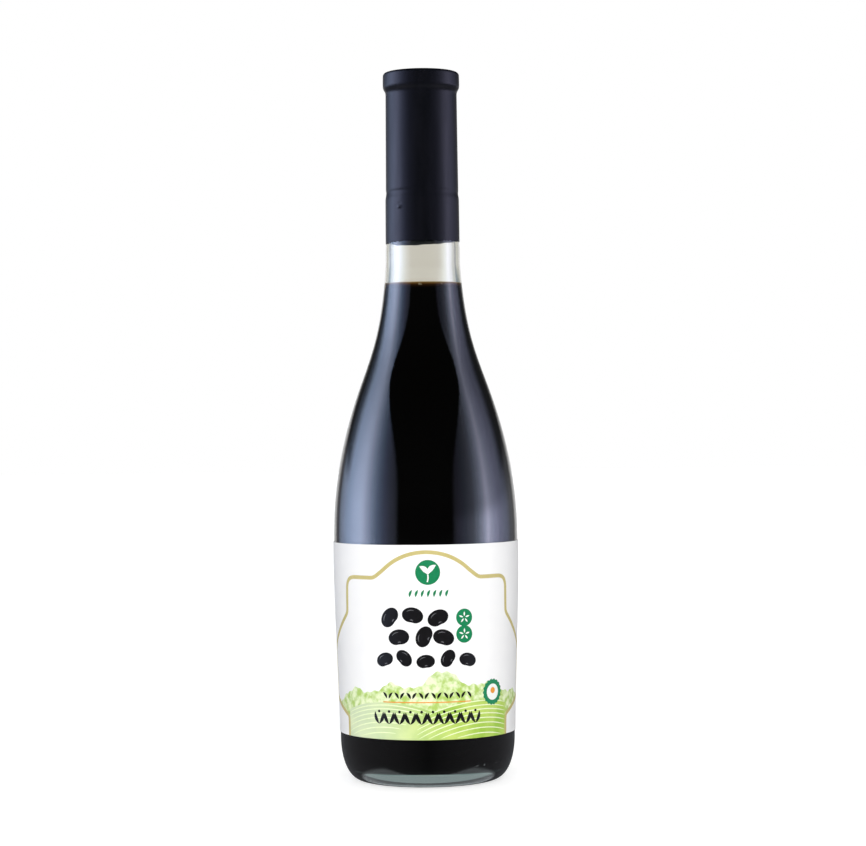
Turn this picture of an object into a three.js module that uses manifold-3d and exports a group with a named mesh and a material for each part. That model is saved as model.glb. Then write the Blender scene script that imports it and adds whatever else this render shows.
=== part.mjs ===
// A long-necked bottle of black-bean soy sauce: clear glass, a dark sauce inside, a paper label
// round the body and a shrink capsule drawn over the neck.
// Millimetres, +Z up. The origin is the middle of the ring that the bottle stands on, and the
// front of the label faces -Y.

import * as THREE from 'three';
import { mergeVertices } from 'three/addons/utils/BufferGeometryUtils.js';
import Module from 'manifold-3d';

// Facets round every turned piece, which all start at the front, so that nested pieces keep their
// gap, and rows of facets along each stretch of a profile
const SEGMENTS = 40;
const PUNT_ROWS = 3;
const HEEL_ROWS = 6;
const BODY_ROWS = 4;
const SHOULDER_ROWS = 8;
const NECK_ROWS = 8;
const ROUNDING_ROWS = 3;
const MENISCUS_ROWS = 3;

// Outside of the glass, from the foot up
const STANDING_RING_INNER = 21.6;
const STANDING_RING_OUTER = 25.4;
const PUNT_RISE = 2.4;
const HEEL_TOP = 17.4;
const HEEL_TOP_RADIUS = 33.9;
const HEEL_SQUARENESS = 2.2;
const WIDEST_HEIGHT = 89.3;
const WIDEST_RADIUS = 35.75;
const SHOULDER_HEIGHT = 152.7;
const SHOULDER_RADIUS = 24.85;
const SHOULDER_SLOPE = -0.365;
const NECK_HEIGHT = 200.3;
const NECK_RADIUS = 14.45;
const NECK_SLOPE = -0.07;

// How far each end of those curves keeps its direction, along the height
const BODY_FLARE = 0.25;
const BODY_FOOT_PULL = 24.7;
const BODY_TOP_PULL = 24.9;
const SHOULDER_TOP_PULL = 10.6;
const SHOULDER_MIDDLE_PULL = 31.6;
const NECK_FOOT_PULL = 13.4;
const NECK_TOP_PULL = 25.3;

// Inside of the glass
const BODY_WALL = 2.8;
const NECK_WALL = 2.0;
const WALL_THINS_FROM = 100;
const WALL_THINS_TO = 185;
const BASE_THICKNESS = 6.2;
const INNER_FLOOR_RADIUS = 23.0;
const INNER_FLOOR_RISE = 0.8;
const INNER_HEEL_TOP = 18.0;
const INNER_HEEL_SQUARENESS = 2.0;
const BORE_RADIUS = 11.3;
const BORE_FOOT = 222;
const LIP_ROUNDING = 0.9;

// Five small raised dots that the mould leaves on the heel, on even places with one left empty
const DOT_RADIUS = 0.8;
const DOT_STANDS_PROUD = 0.3;
const DOT_HEIGHT = 8.8;
const FIRST_DOT_DEGREES = 34.7;
const DOT_PITCH_DEGREES = 5.92;
const DOT_PLACES = [0, 1, 3, 4, 5];

// The sauce
const SAUCE_LEVEL = 190.9;
const SAUCE_GAP = 0.1;
const MENISCUS_RISE = 1.7;
const MENISCUS_WIDTH = 0.9;
const MENISCUS_REACH = 2.7;

// The label
const LABEL_BOTTOM = 19;
const LABEL_TOP = 92.5;
const LABEL_THICKNESS = 0.15;
const LABEL_GAP = 0.1;

// The capsule, outside, from the foot up
const CAPSULE_FOOT = 208.45;
const CAPSULE_FOOT_RADIUS = 14.4;
const CAPSULE_FOOT_STRAIGHT = 2;
const SKIRT_RADIUS = 14.32;
const CREASE_HEIGHT = 227.2;
const CREASE_RADIUS = 13.97;
const CREASE_HALF_WIDTH = 1.6;
const SLEEVE_FOOT_RADIUS = 14.12;
const SLEEVE_TOP = 266.8;
const SLEEVE_TOP_RADIUS = 13.85;
const RIM_FOOT = 269.3;
const RIM_CHAMFER = 0.6;
const RIM_RADIUS = 14.9;
const CAPSULE_TOP = 274.7;
const CAPSULE_TOP_ROUNDING = 1.3;
const CAPSULE_WALL = 0.35;
const CAPSULE_LID = 0.8;
const CAPSULE_GAP = 0.1;

// The cut foot of the capsule is a little crooked: it tilts and ripples, and that fades upwards
const FOOT_TILT = 0.3;
const FOOT_RIPPLE = 0.14;
const FOOT_CROOKED_OVER = 6;

const glassFinish = new THREE.MeshStandardMaterial({
  color: 0xdfe6dc,
  roughness: 0.03,
  metalness: 0,
  transparent: true,
  opacity: 0.35,
});
const sauceFinish = new THREE.MeshStandardMaterial({ color: 0x0a0705, roughness: 0.05, metalness: 0 });
const labelFinish = new THREE.MeshStandardMaterial({ color: 0xf6f6f4, roughness: 0.45, metalness: 0 });
const capsuleFinish = new THREE.MeshStandardMaterial({ color: 0x16171f, roughness: 0.42, metalness: 0 });

const point = (radius, height) => new THREE.Vector2(radius, height);

// A shallow dome over the foot: from the axis at base + rise out to the radius, just above base.
function domed(radius, base, rise, rows) {
  const dome = [];
  for (let row = 0; row < rows; row += 1) {
    const share = row / rows;
    dome.push(point(radius * share, base + rise * (1 - share ** 2)));
  }
  return dome;
}

// A quarter of a superellipse from (startRadius, startHeight), where it runs outwards, to
// (endRadius, endHeight), where it runs upwards.
function roundedHeel(startRadius, startHeight, endRadius, endHeight, squareness, rows) {
  const heel = [];
  for (let row = 0; row <= rows; row += 1) {
    const angle = (Math.PI / 2) * (row / rows);
    const outwards = Math.sin(angle) ** (2 / squareness);
    const upwards = 1 - Math.cos(angle) ** (2 / squareness);
    heel.push(point(
      startRadius + (endRadius - startRadius) * outwards,
      startHeight + (endHeight - startHeight) * upwards,
    ));
  }
  return heel;
}

// A quarter circle that turns from upright at the given outer radius to level at the given top.
function roundedEdge(outerRadius, top, rounding) {
  const quarter = new THREE.EllipseCurve(
    outerRadius - rounding,
    top - rounding,
    rounding,
    rounding,
    0,
    Math.PI / 2,
  );
  return quarter.getPoints(ROUNDING_ROWS);
}

// The radius of a profile, given as points from the foot up, at one height.
function radiusAt(profile, height) {
  if (height <= profile[0].y) {
    return profile[0].x;
  }
  for (let index = 1; index < profile.length; index += 1) {
    const below = profile[index - 1];
    const above = profile[index];
    if (height <= above.y) {
      return THREE.MathUtils.mapLinear(height, below.y, above.y, below.x, above.x);
    }
  }
  return profile[profile.length - 1].x;
}

// The outside of the glass between the heel and the capsule: three Bezier stretches, one for the
// slowly widening body, one for the round of the shoulder and one for the hollow of the neck.
const bodyStretch = new THREE.CubicBezierCurve(
  point(HEEL_TOP_RADIUS, HEEL_TOP),
  point(HEEL_TOP_RADIUS + BODY_FLARE, HEEL_TOP + BODY_FOOT_PULL),
  point(WIDEST_RADIUS, WIDEST_HEIGHT - BODY_TOP_PULL),
  point(WIDEST_RADIUS, WIDEST_HEIGHT),
);
const shoulderStretch = new THREE.CubicBezierCurve(
  point(WIDEST_RADIUS, WIDEST_HEIGHT),
  point(WIDEST_RADIUS, WIDEST_HEIGHT + SHOULDER_TOP_PULL),
  point(SHOULDER_RADIUS - SHOULDER_SLOPE * SHOULDER_MIDDLE_PULL, SHOULDER_HEIGHT - SHOULDER_MIDDLE_PULL),
  point(SHOULDER_RADIUS, SHOULDER_HEIGHT),
);
const neckStretch = new THREE.CubicBezierCurve(
  point(SHOULDER_RADIUS, SHOULDER_HEIGHT),
  point(SHOULDER_RADIUS + SHOULDER_SLOPE * NECK_FOOT_PULL, SHOULDER_HEIGHT + NECK_FOOT_PULL),
  point(NECK_RADIUS - NECK_SLOPE * NECK_TOP_PULL, NECK_HEIGHT - NECK_TOP_PULL),
  point(NECK_RADIUS, NECK_HEIGHT),
);

// The outside of the capsule from its foot up to the underside of its rounded top edge.
const capsuleSide = [
  point(CAPSULE_FOOT_RADIUS, CAPSULE_FOOT),
  point(CAPSULE_FOOT_RADIUS, CAPSULE_FOOT + CAPSULE_FOOT_STRAIGHT),
  point(SKIRT_RADIUS, CREASE_HEIGHT - CREASE_HALF_WIDTH),
  point(CREASE_RADIUS, CREASE_HEIGHT),
  point(SLEEVE_FOOT_RADIUS, CREASE_HEIGHT + CREASE_HALF_WIDTH),
  point(SLEEVE_TOP_RADIUS, SLEEVE_TOP),
  point(RIM_RADIUS, RIM_FOOT - RIM_CHAMFER),
  point(RIM_RADIUS, RIM_FOOT),
];

// The visible outside of the glass from the top of the heel to the foot of the capsule.
const visibleGlass = [
  ...bodyStretch.getPoints(BODY_ROWS),
  ...shoulderStretch.getPoints(SHOULDER_ROWS).slice(1),
  ...neckStretch.getPoints(NECK_ROWS).slice(1),
  point(CAPSULE_FOOT_RADIUS, CAPSULE_FOOT - CAPSULE_FOOT_STRAIGHT),
];

// Under the capsule the neck has the capsule's own steps, a film and a gap further in, because
// the film is shrunk on to it. Its foot lies below the lowest point of the crooked edge.
const filmInset = CAPSULE_WALL + CAPSULE_GAP;
const lipTop = CAPSULE_TOP - CAPSULE_LID - CAPSULE_GAP;
const coveredGlass = capsuleSide.map((corner) => point(corner.x - filmInset, corner.y));
coveredGlass[0].y -= FOOT_TILT + FOOT_RIPPLE + CAPSULE_GAP;
const lip = roundedEdge(RIM_RADIUS - filmInset, lipTop, LIP_ROUNDING);

// The thickness of the glass at one height of the body, shoulder or visible neck.
function wallAt(height) {
  const share = THREE.MathUtils.smoothstep(height, WALL_THINS_FROM, WALL_THINS_TO);
  return THREE.MathUtils.lerp(BODY_WALL, NECK_WALL, share);
}

// The inside of the glass from the middle of its floor up to the mouth.
const innerFloor = domed(INNER_FLOOR_RADIUS, BASE_THICKNESS, INNER_FLOOR_RISE, PUNT_ROWS);
const innerHeel = roundedHeel(
  INNER_FLOOR_RADIUS,
  BASE_THICKNESS,
  HEEL_TOP_RADIUS - BODY_WALL,
  INNER_HEEL_TOP,
  INNER_HEEL_SQUARENESS,
  HEEL_ROWS,
);
const innerWall = visibleGlass
  .filter((outside, row) => row % 2 === 0 && row > 0)
  .map((outside) => point(outside.x - wallAt(outside.y), outside.y));
const bore = [
  point(CAPSULE_FOOT_RADIUS - NECK_WALL, CAPSULE_FOOT),
  point(BORE_RADIUS, BORE_FOOT),
  point(BORE_RADIUS, lipTop - LIP_ROUNDING),
  point(BORE_RADIUS + LIP_ROUNDING, lipTop),
];

// A turned solid about the Z axis. The profile runs up the outside and down the inside.
function turned(profile) {
  return new THREE.LatheGeometry(profile, SEGMENTS).rotateX(Math.PI / 2);
}

const wasm = await Module();
wasm.setup();

// A closed geometry as a solid for joining, without the thin triangles at the poles of a lathe.
function toManifold(geometry) {
  geometry.deleteAttribute('normal');
  geometry.deleteAttribute('uv');
  const merged = mergeVertices(geometry);
  const corners = merged.index.array;
  const kept = [];
  for (let start = 0; start < corners.length; start += 3) {
    const [a, b, c] = corners.slice(start, start + 3);
    if (a !== b && b !== c && c !== a) {
      kept.push(a, b, c);
    }
  }
  return new wasm.Manifold(new wasm.Mesh({
    numProp: 3,
    vertProperties: merged.attributes.position.array,
    triVerts: new Uint32Array(kept),
  }));
}

// A joined solid as a geometry again.
function fromManifold(solid) {
  const mesh = solid.getMesh();
  const geometry = new THREE.BufferGeometry();
  geometry.setAttribute('position', new THREE.BufferAttribute(mesh.vertProperties, 3));
  geometry.setIndex(new THREE.BufferAttribute(mesh.triVerts, 1));
  geometry.computeVertexNormals();
  return geometry;
}

// The glass: one hollow body, open at its lip, with the mould's dots fused on its heel.
function makeGlass() {
  const punt = domed(STANDING_RING_INNER, 0, PUNT_RISE, PUNT_ROWS);
  const standingRing = point(STANDING_RING_INNER, 0);
  const heel = roundedHeel(
    STANDING_RING_OUTER,
    0,
    HEEL_TOP_RADIUS,
    HEEL_TOP,
    HEEL_SQUARENESS,
    HEEL_ROWS,
  );
  const outside = [...punt, standingRing, ...heel, ...visibleGlass.slice(1), ...coveredGlass, ...lip];
  const inside = [...innerFloor, ...innerHeel, ...innerWall, ...bore];
  let glass = toManifold(turned([...outside, ...inside.reverse()]));
  const dotCentre = radiusAt(heel, DOT_HEIGHT) + DOT_STANDS_PROUD - DOT_RADIUS;
  for (const place of DOT_PLACES) {
    const turn = THREE.MathUtils.degToRad(FIRST_DOT_DEGREES + DOT_PITCH_DEGREES * place);
    const dot = new THREE.IcosahedronGeometry(DOT_RADIUS, 1);
    dot.translate(dotCentre * Math.sin(turn), -dotCentre * Math.cos(turn), DOT_HEIGHT);
    glass = glass.add(toManifold(dot));
  }
  return fromManifold(glass);
}

// The sauce fills the bottle up to its level. Its surface curls up the glass that it wets, by an
// amount that dies away exponentially with the distance from the wall.
function makeSauce() {
  const floor = innerFloor.map((corner) => point(corner.x, corner.y + SAUCE_GAP));
  const heel = innerHeel.map((corner) => point(
    Math.max(corner.x - SAUCE_GAP, INNER_FLOOR_RADIUS),
    corner.y + SAUCE_GAP,
  ));
  const wetTop = SAUCE_LEVEL + MENISCUS_RISE;
  const wall = innerWall
    .filter((corner) => corner.y < wetTop)
    .map((corner) => point(corner.x - SAUCE_GAP, corner.y));
  const wetRadius = radiusAt(innerWall, wetTop) - SAUCE_GAP;
  const surface = [];
  for (let row = 0; row <= MENISCUS_ROWS; row += 1) {
    const away = MENISCUS_REACH * (row / MENISCUS_ROWS) ** 2;
    surface.push(point(wetRadius - away, SAUCE_LEVEL + MENISCUS_RISE * Math.exp(-away / MENISCUS_WIDTH)));
  }
  surface.push(point(0, SAUCE_LEVEL));
  return turned([...floor, ...heel, ...wall, ...surface]);
}

// The label: a thin sleeve of paper that follows the body.
function makeLabel() {
  const between = visibleGlass
    .map((outside) => outside.y)
    .filter((height) => height > LABEL_BOTTOM && height < LABEL_TOP);
  const back = [LABEL_BOTTOM, ...between, LABEL_TOP]
    .map((height) => point(radiusAt(visibleGlass, height) + LABEL_GAP, height));
  const face = back.map((corner) => point(corner.x + LABEL_THICKNESS, corner.y));
  return turned([...face, ...back.reverse(), face[0]]);
}

// The capsule: a closed sleeve of film with an open, slightly crooked foot.
function makeCapsule() {
  const underLid = CAPSULE_TOP - CAPSULE_LID;
  const outside = [...capsuleSide, ...roundedEdge(RIM_RADIUS, CAPSULE_TOP, CAPSULE_TOP_ROUNDING)];
  const inside = [
    ...capsuleSide.map((corner) => point(corner.x - CAPSULE_WALL, corner.y)),
    ...roundedEdge(RIM_RADIUS - CAPSULE_WALL, underLid, LIP_ROUNDING),
    point(0, underLid),
  ];
  const capsule = turned([...inside.reverse(), ...outside, point(0, CAPSULE_TOP)]);
  const places = capsule.attributes.position;
  for (let index = 0; index < places.count; index += 1) {
    const around = Math.atan2(places.getY(index), places.getX(index));
    const height = places.getZ(index);
    const share = Math.max(0, 1 - (height - CAPSULE_FOOT) / FOOT_CROOKED_OVER);
    const crooked = FOOT_TILT * Math.cos(around) + FOOT_RIPPLE * Math.sin(2 * around);
    places.setZ(index, height + crooked * share);
  }
  capsule.computeVertexNormals();
  return capsule;
}

const bottle = new THREE.Group();

function addPiece(name, geometry, finish) {
  const piece = new THREE.Mesh(geometry, finish);
  piece.name = name;
  bottle.add(piece);
}

addPiece('glass_bottle', makeGlass(), glassFinish);
addPiece('soy_sauce', makeSauce(), sauceFinish);
addPiece('label', makeLabel(), labelFinish);
addPiece('capsule', makeCapsule(), capsuleFinish);

export default bottle;
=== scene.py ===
"""The looks of a filled and capped bottle of dark soy sauce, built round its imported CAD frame.

Metres, +Z up. The origin is the middle of the ring that the bottle stands on, and the front of the
label faces -Y. Angles round the bottle start at the front and grow towards +X.
"""

import logging
import math
from collections.abc import Callable, Sequence
from dataclasses import dataclass, field
from enum import Enum

import bpy
import numpy as np
from mathutils import Matrix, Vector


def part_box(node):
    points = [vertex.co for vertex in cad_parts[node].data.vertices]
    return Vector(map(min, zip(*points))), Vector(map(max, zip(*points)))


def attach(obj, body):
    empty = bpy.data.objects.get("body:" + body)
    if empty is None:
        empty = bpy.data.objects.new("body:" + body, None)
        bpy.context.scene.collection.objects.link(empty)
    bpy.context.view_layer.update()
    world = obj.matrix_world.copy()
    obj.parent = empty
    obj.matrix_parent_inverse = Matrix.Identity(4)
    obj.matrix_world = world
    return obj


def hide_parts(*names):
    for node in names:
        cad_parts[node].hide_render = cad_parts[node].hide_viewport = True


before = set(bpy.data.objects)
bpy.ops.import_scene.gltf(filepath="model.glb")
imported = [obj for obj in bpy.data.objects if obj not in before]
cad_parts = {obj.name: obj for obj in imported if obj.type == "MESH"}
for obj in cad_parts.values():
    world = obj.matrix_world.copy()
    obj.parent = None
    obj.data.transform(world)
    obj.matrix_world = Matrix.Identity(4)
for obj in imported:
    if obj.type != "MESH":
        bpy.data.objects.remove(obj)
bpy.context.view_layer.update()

BODY = "root"
MM = 0.001

Array = np.ndarray
Colour = tuple[float, float, float]
Vector3 = tuple[float, float, float]
Place = tuple[float, float]
Stops = tuple[tuple[float, Colour], ...]
Span = tuple[float, float]
Node = bpy.types.Node
Socket = bpy.types.NodeSocket
Material = bpy.types.Material

BLACK: Colour = (0.0, 0.0, 0.0)
WHITE: Colour = (1.0, 1.0, 1.0)
EVENLY: Vector3 = (1.0, 1.0, 1.0)
SHARP_DEGREES = 40.0

log = logging.getLogger("soy_sauce_bottle")


class Slot(Enum):
    """The record's material slots."""

    GLASS = "glass"
    SAUCE = "sauce"
    LABEL = "label"
    CAPSULE = "capsule"


def smoothstep(low: float, high: float, value: Array) -> Array:
    """A smooth rise from 0 at low to 1 at high: s * s * (3 - 2s), with s the share of the way.

    Args:
        low: Where the rise starts.
        high: Where the rise ends.
        value: Where the rise is wanted.

    Returns:
        The rise at each value.
    """
    share = np.clip((np.asarray(value, float) - low) / (high - low), 0.0, 1.0)
    return share * share * (3.0 - 2.0 * share)


def bell(distance: Array) -> Array:
    """A bell of height 1: e to the power of minus the distance squared."""
    return np.exp(-(distance**2))


def bezier(points: Sequence[Place], rows: int) -> Array:
    """A cubic Bezier curve, its points weighed by (1-t)^3, 3t(1-t)^2, 3t^2(1-t) and t^3.

    Args:
        points: The two ends and, between them, the two points that they pull towards.
        rows: How many steps the curve has.

    Returns:
        The curve, one point a row.
    """
    t = np.linspace(0.0, 1.0, rows + 1)[:, None]
    weights = np.hstack([(1 - t) ** 3, 3 * t * (1 - t) ** 2, 3 * t**2 * (1 - t), t**3])
    return weights @ np.array(points, float)


def quarter(start: Place, end: Place, power: float, rows: int) -> Array:
    """A quarter of a superellipse that leaves start outwards and reaches end upwards.

    The share outwards is sin(a)^(2/power) and the share upwards 1 - cos(a)^(2/power).

    Args:
        start: Radius and height where it runs outwards.
        end: Radius and height where it runs upwards.
        power: Its squareness, 2 for an ellipse.
        rows: How many steps it has.

    Returns:
        The curve, one radius and height a row.
    """
    angle = np.linspace(0.0, math.pi / 2, rows + 1)
    outwards = np.sin(angle) ** (2.0 / power)
    upwards = 1.0 - np.clip(np.cos(angle), 0.0, 1.0) ** (2.0 / power)
    first, last = np.array(start), np.array(end)
    return first + (last - first) * np.column_stack([outwards, upwards])


def softened(corners: Array, step: float, reach: float) -> Array:
    """A path through corners with its corners rounded.

    The path is cut into even steps, and each point becomes the mean of those within reach of it,
    with both ends held by reflecting the path about them.

    Args:
        corners: The path's corners, one a row.
        step: The length of a step.
        reach: How far each way the mean looks along the path.

    Returns:
        The rounded path.
    """
    lengths = np.linalg.norm(np.diff(corners, axis=0), axis=1)
    along = np.concatenate([[0.0], np.cumsum(lengths)])
    count = max(2, int(round(along[-1] / step)))
    places = np.linspace(0.0, along[-1], count + 1)
    path = np.column_stack([np.interp(places, along, corners[:, axis]) for axis in range(2)])
    half = max(1, int(round(reach / step)))
    before = 2 * path[0] - path[half:0:-1]
    after = 2 * path[-1] - path[-2 : -half - 2 : -1]
    padded = np.vstack([before, path, after])
    kernel = np.hanning(2 * half + 3)[1:-1]
    kernel /= kernel.sum()
    return np.column_stack([np.convolve(padded[:, axis], kernel, mode="valid") for axis in range(2)])


@dataclass
class Surface:
    """A closed surface: its points, and its faces with three or four corners."""

    points: Array
    quads: Array
    triangles: Array

    def volume(self) -> float:
        """The signed volume inside, as the sum of the tetrahedra from the origin to each face."""
        corners = np.vstack([self.quads[:, [0, 1, 2]], self.quads[:, [0, 2, 3]], self.triangles])
        a, b, c = (self.points[corners[:, corner]] for corner in range(3))
        return float(np.einsum("ij,ij->i", a, np.cross(b, c)).sum() / 6.0)

    def outward(self) -> "Surface":
        """The same surface with its faces pointing outwards, so that its volume isn't negative."""
        if self.volume() >= 0.0:
            return self
        return Surface(self.points, self.quads[:, ::-1], self.triangles[:, ::-1])


def joined(surfaces: Sequence[Surface]) -> Surface:
    """Several closed surfaces as the parts of one."""
    starts = np.concatenate([[0], np.cumsum([len(s.points) for s in surfaces])[:-1]])
    return Surface(
        np.vstack([s.points for s in surfaces]),
        np.vstack([s.quads + start for s, start in zip(surfaces, starts)]),
        np.vstack([s.triangles + start for s, start in zip(surfaces, starts)]),
    )


def cells(indices: Array) -> Array:
    """The quads between neighbouring rows and columns of a grid of point numbers."""
    lower, upper = indices[:-1], indices[1:]
    return np.stack([lower[:, :-1], lower[:, 1:], upper[:, 1:], upper[:, :-1]], axis=-1).reshape(-1, 4)


def turned(radii: Array, heights: Array, angles: Array) -> Surface:
    """A surface turned about the Z axis: x = r sin(a), y = -r cos(a), z = h.

    A first and a last point stand on the axis and close it, at the heights of its end rows.

    Args:
        radii: The radius at each row and column, or a column of one radius a row.
        heights: The height at each row and column, or a column of one height a row.
        angles: The angle of each column, round once without the closing one.

    Returns:
        The closed surface.
    """
    rows = len(radii)
    columns = len(angles)
    radius = np.broadcast_to(radii, (rows, columns))
    height = np.broadcast_to(heights, (rows, columns))
    grid = np.stack([radius * np.sin(angles), -radius * np.cos(angles), height], axis=-1)
    poles = np.array([[0.0, 0.0, height[0].mean()], [0.0, 0.0, height[-1].mean()]])
    indices = np.arange(rows * columns).reshape(rows, columns)
    wrapped = np.hstack([indices, indices[:, :1]])
    first, last = rows * columns, rows * columns + 1
    fans = [
        np.column_stack([np.full(columns, first), wrapped[0, 1:], wrapped[0, :-1]]),
        np.column_stack([np.full(columns, last), wrapped[-1, :-1], wrapped[-1, 1:]]),
    ]
    points = np.vstack([grid.reshape(-1, 3), poles])
    return Surface(points, cells(wrapped), np.vstack(fans)).outward()


def slab(top: Array, bottom: Array) -> Surface:
    """A thin closed solid between two grids of points with the same rows and columns.

    Args:
        top: The points of its face.
        bottom: The points of its back.

    Returns:
        The face, the back, and the four walls that join their edges.
    """
    rows, columns = top.shape[:2]
    face = np.arange(rows * columns).reshape(rows, columns)
    back = face + rows * columns
    edge = np.concatenate([face[0, :-1], face[:-1, -1], face[-1, :0:-1], face[:0:-1, 0]])
    edge = np.concatenate([edge, edge[:1]])
    walls = cells(np.vstack([edge, edge + rows * columns]))
    points = np.vstack([top.reshape(-1, 3), bottom.reshape(-1, 3)])
    quads = np.vstack([cells(face), cells(back)[:, ::-1], walls[:, ::-1]])
    return Surface(points, quads, np.empty((0, 3), int)).outward()


def add_piece(
    name: str,
    surface: Surface,
    finish: Material,
    replaced: Sequence[str] = (),
) -> None:
    """Makes a surface an object that rides on the bottle, and reports it.

    Args:
        name: The piece's name.
        surface: Its mesh, in place.
        finish: Its material.
        replaced: The CAD nodes that it stands for.
    """
    mesh = bpy.data.meshes.new(name)
    corners = np.concatenate([surface.quads.ravel(), surface.triangles.ravel()]).astype(np.int32)
    sizes = [np.full(len(surface.quads), 4), np.full(len(surface.triangles), 3)]
    starts = np.concatenate([[0], np.cumsum(np.concatenate(sizes))[:-1]]).astype(np.int32)
    mesh.vertices.add(len(surface.points))
    mesh.vertices.foreach_set("co", surface.points.astype(np.float32).ravel())
    mesh.loops.add(len(corners))
    mesh.loops.foreach_set("vertex_index", corners)
    mesh.polygons.add(len(starts))
    mesh.polygons.foreach_set("loop_start", starts)
    mesh.polygons.foreach_set("use_smooth", np.ones(len(starts), bool))
    mesh.update(calc_edges=True)
    mesh.validate()
    mesh.set_sharp_from_angle(angle=math.radians(SHARP_DEGREES))
    mesh.materials.append(finish)
    piece = bpy.data.objects.new(name, mesh)
    bpy.context.scene.collection.objects.link(piece)
    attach(piece, BODY)
    if replaced:
        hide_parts(*replaced)
    log.info("%s: %d points, %d faces", name, len(mesh.vertices), len(mesh.polygons))


@dataclass(frozen=True)
class MouldDots:
    """The five small raised dots that the mould leaves on the heel, with one place left empty."""

    radius: float = 0.85 * MM
    proud: float = 0.16 * MM
    height: float = 8.8 * MM
    first_degrees: float = 34.7
    pitch_degrees: float = 5.92
    places: tuple[int, ...] = (0, 1, 3, 4, 5)
    margin_degrees: float = 3.0
    margin: float = 1.05 * MM

    def angles(self) -> Array:
        """The angle of each dot from the front."""
        return np.radians(self.first_degrees + self.pitch_degrees * np.array(self.places))

    def relief(self, angles: Array, heights: Array, radii: Array) -> Array:
        """How far the surface stands out round each dot: half of 1 + cos(pi d / r).

        Args:
            angles: The angle of each column.
            heights: The height of each row, as a column.
            radii: The radius of each row, as a column.

        Returns:
            The relief at each row and column.
        """
        total = np.zeros((len(heights), len(angles)))
        for middle in self.angles():
            distance = np.hypot((angles - middle) * radii, heights - self.height)
            swell = 0.5 * (1.0 + np.cos(math.pi * np.minimum(distance / self.radius, 1.0)))
            total += self.proud * swell
        return total


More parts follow.
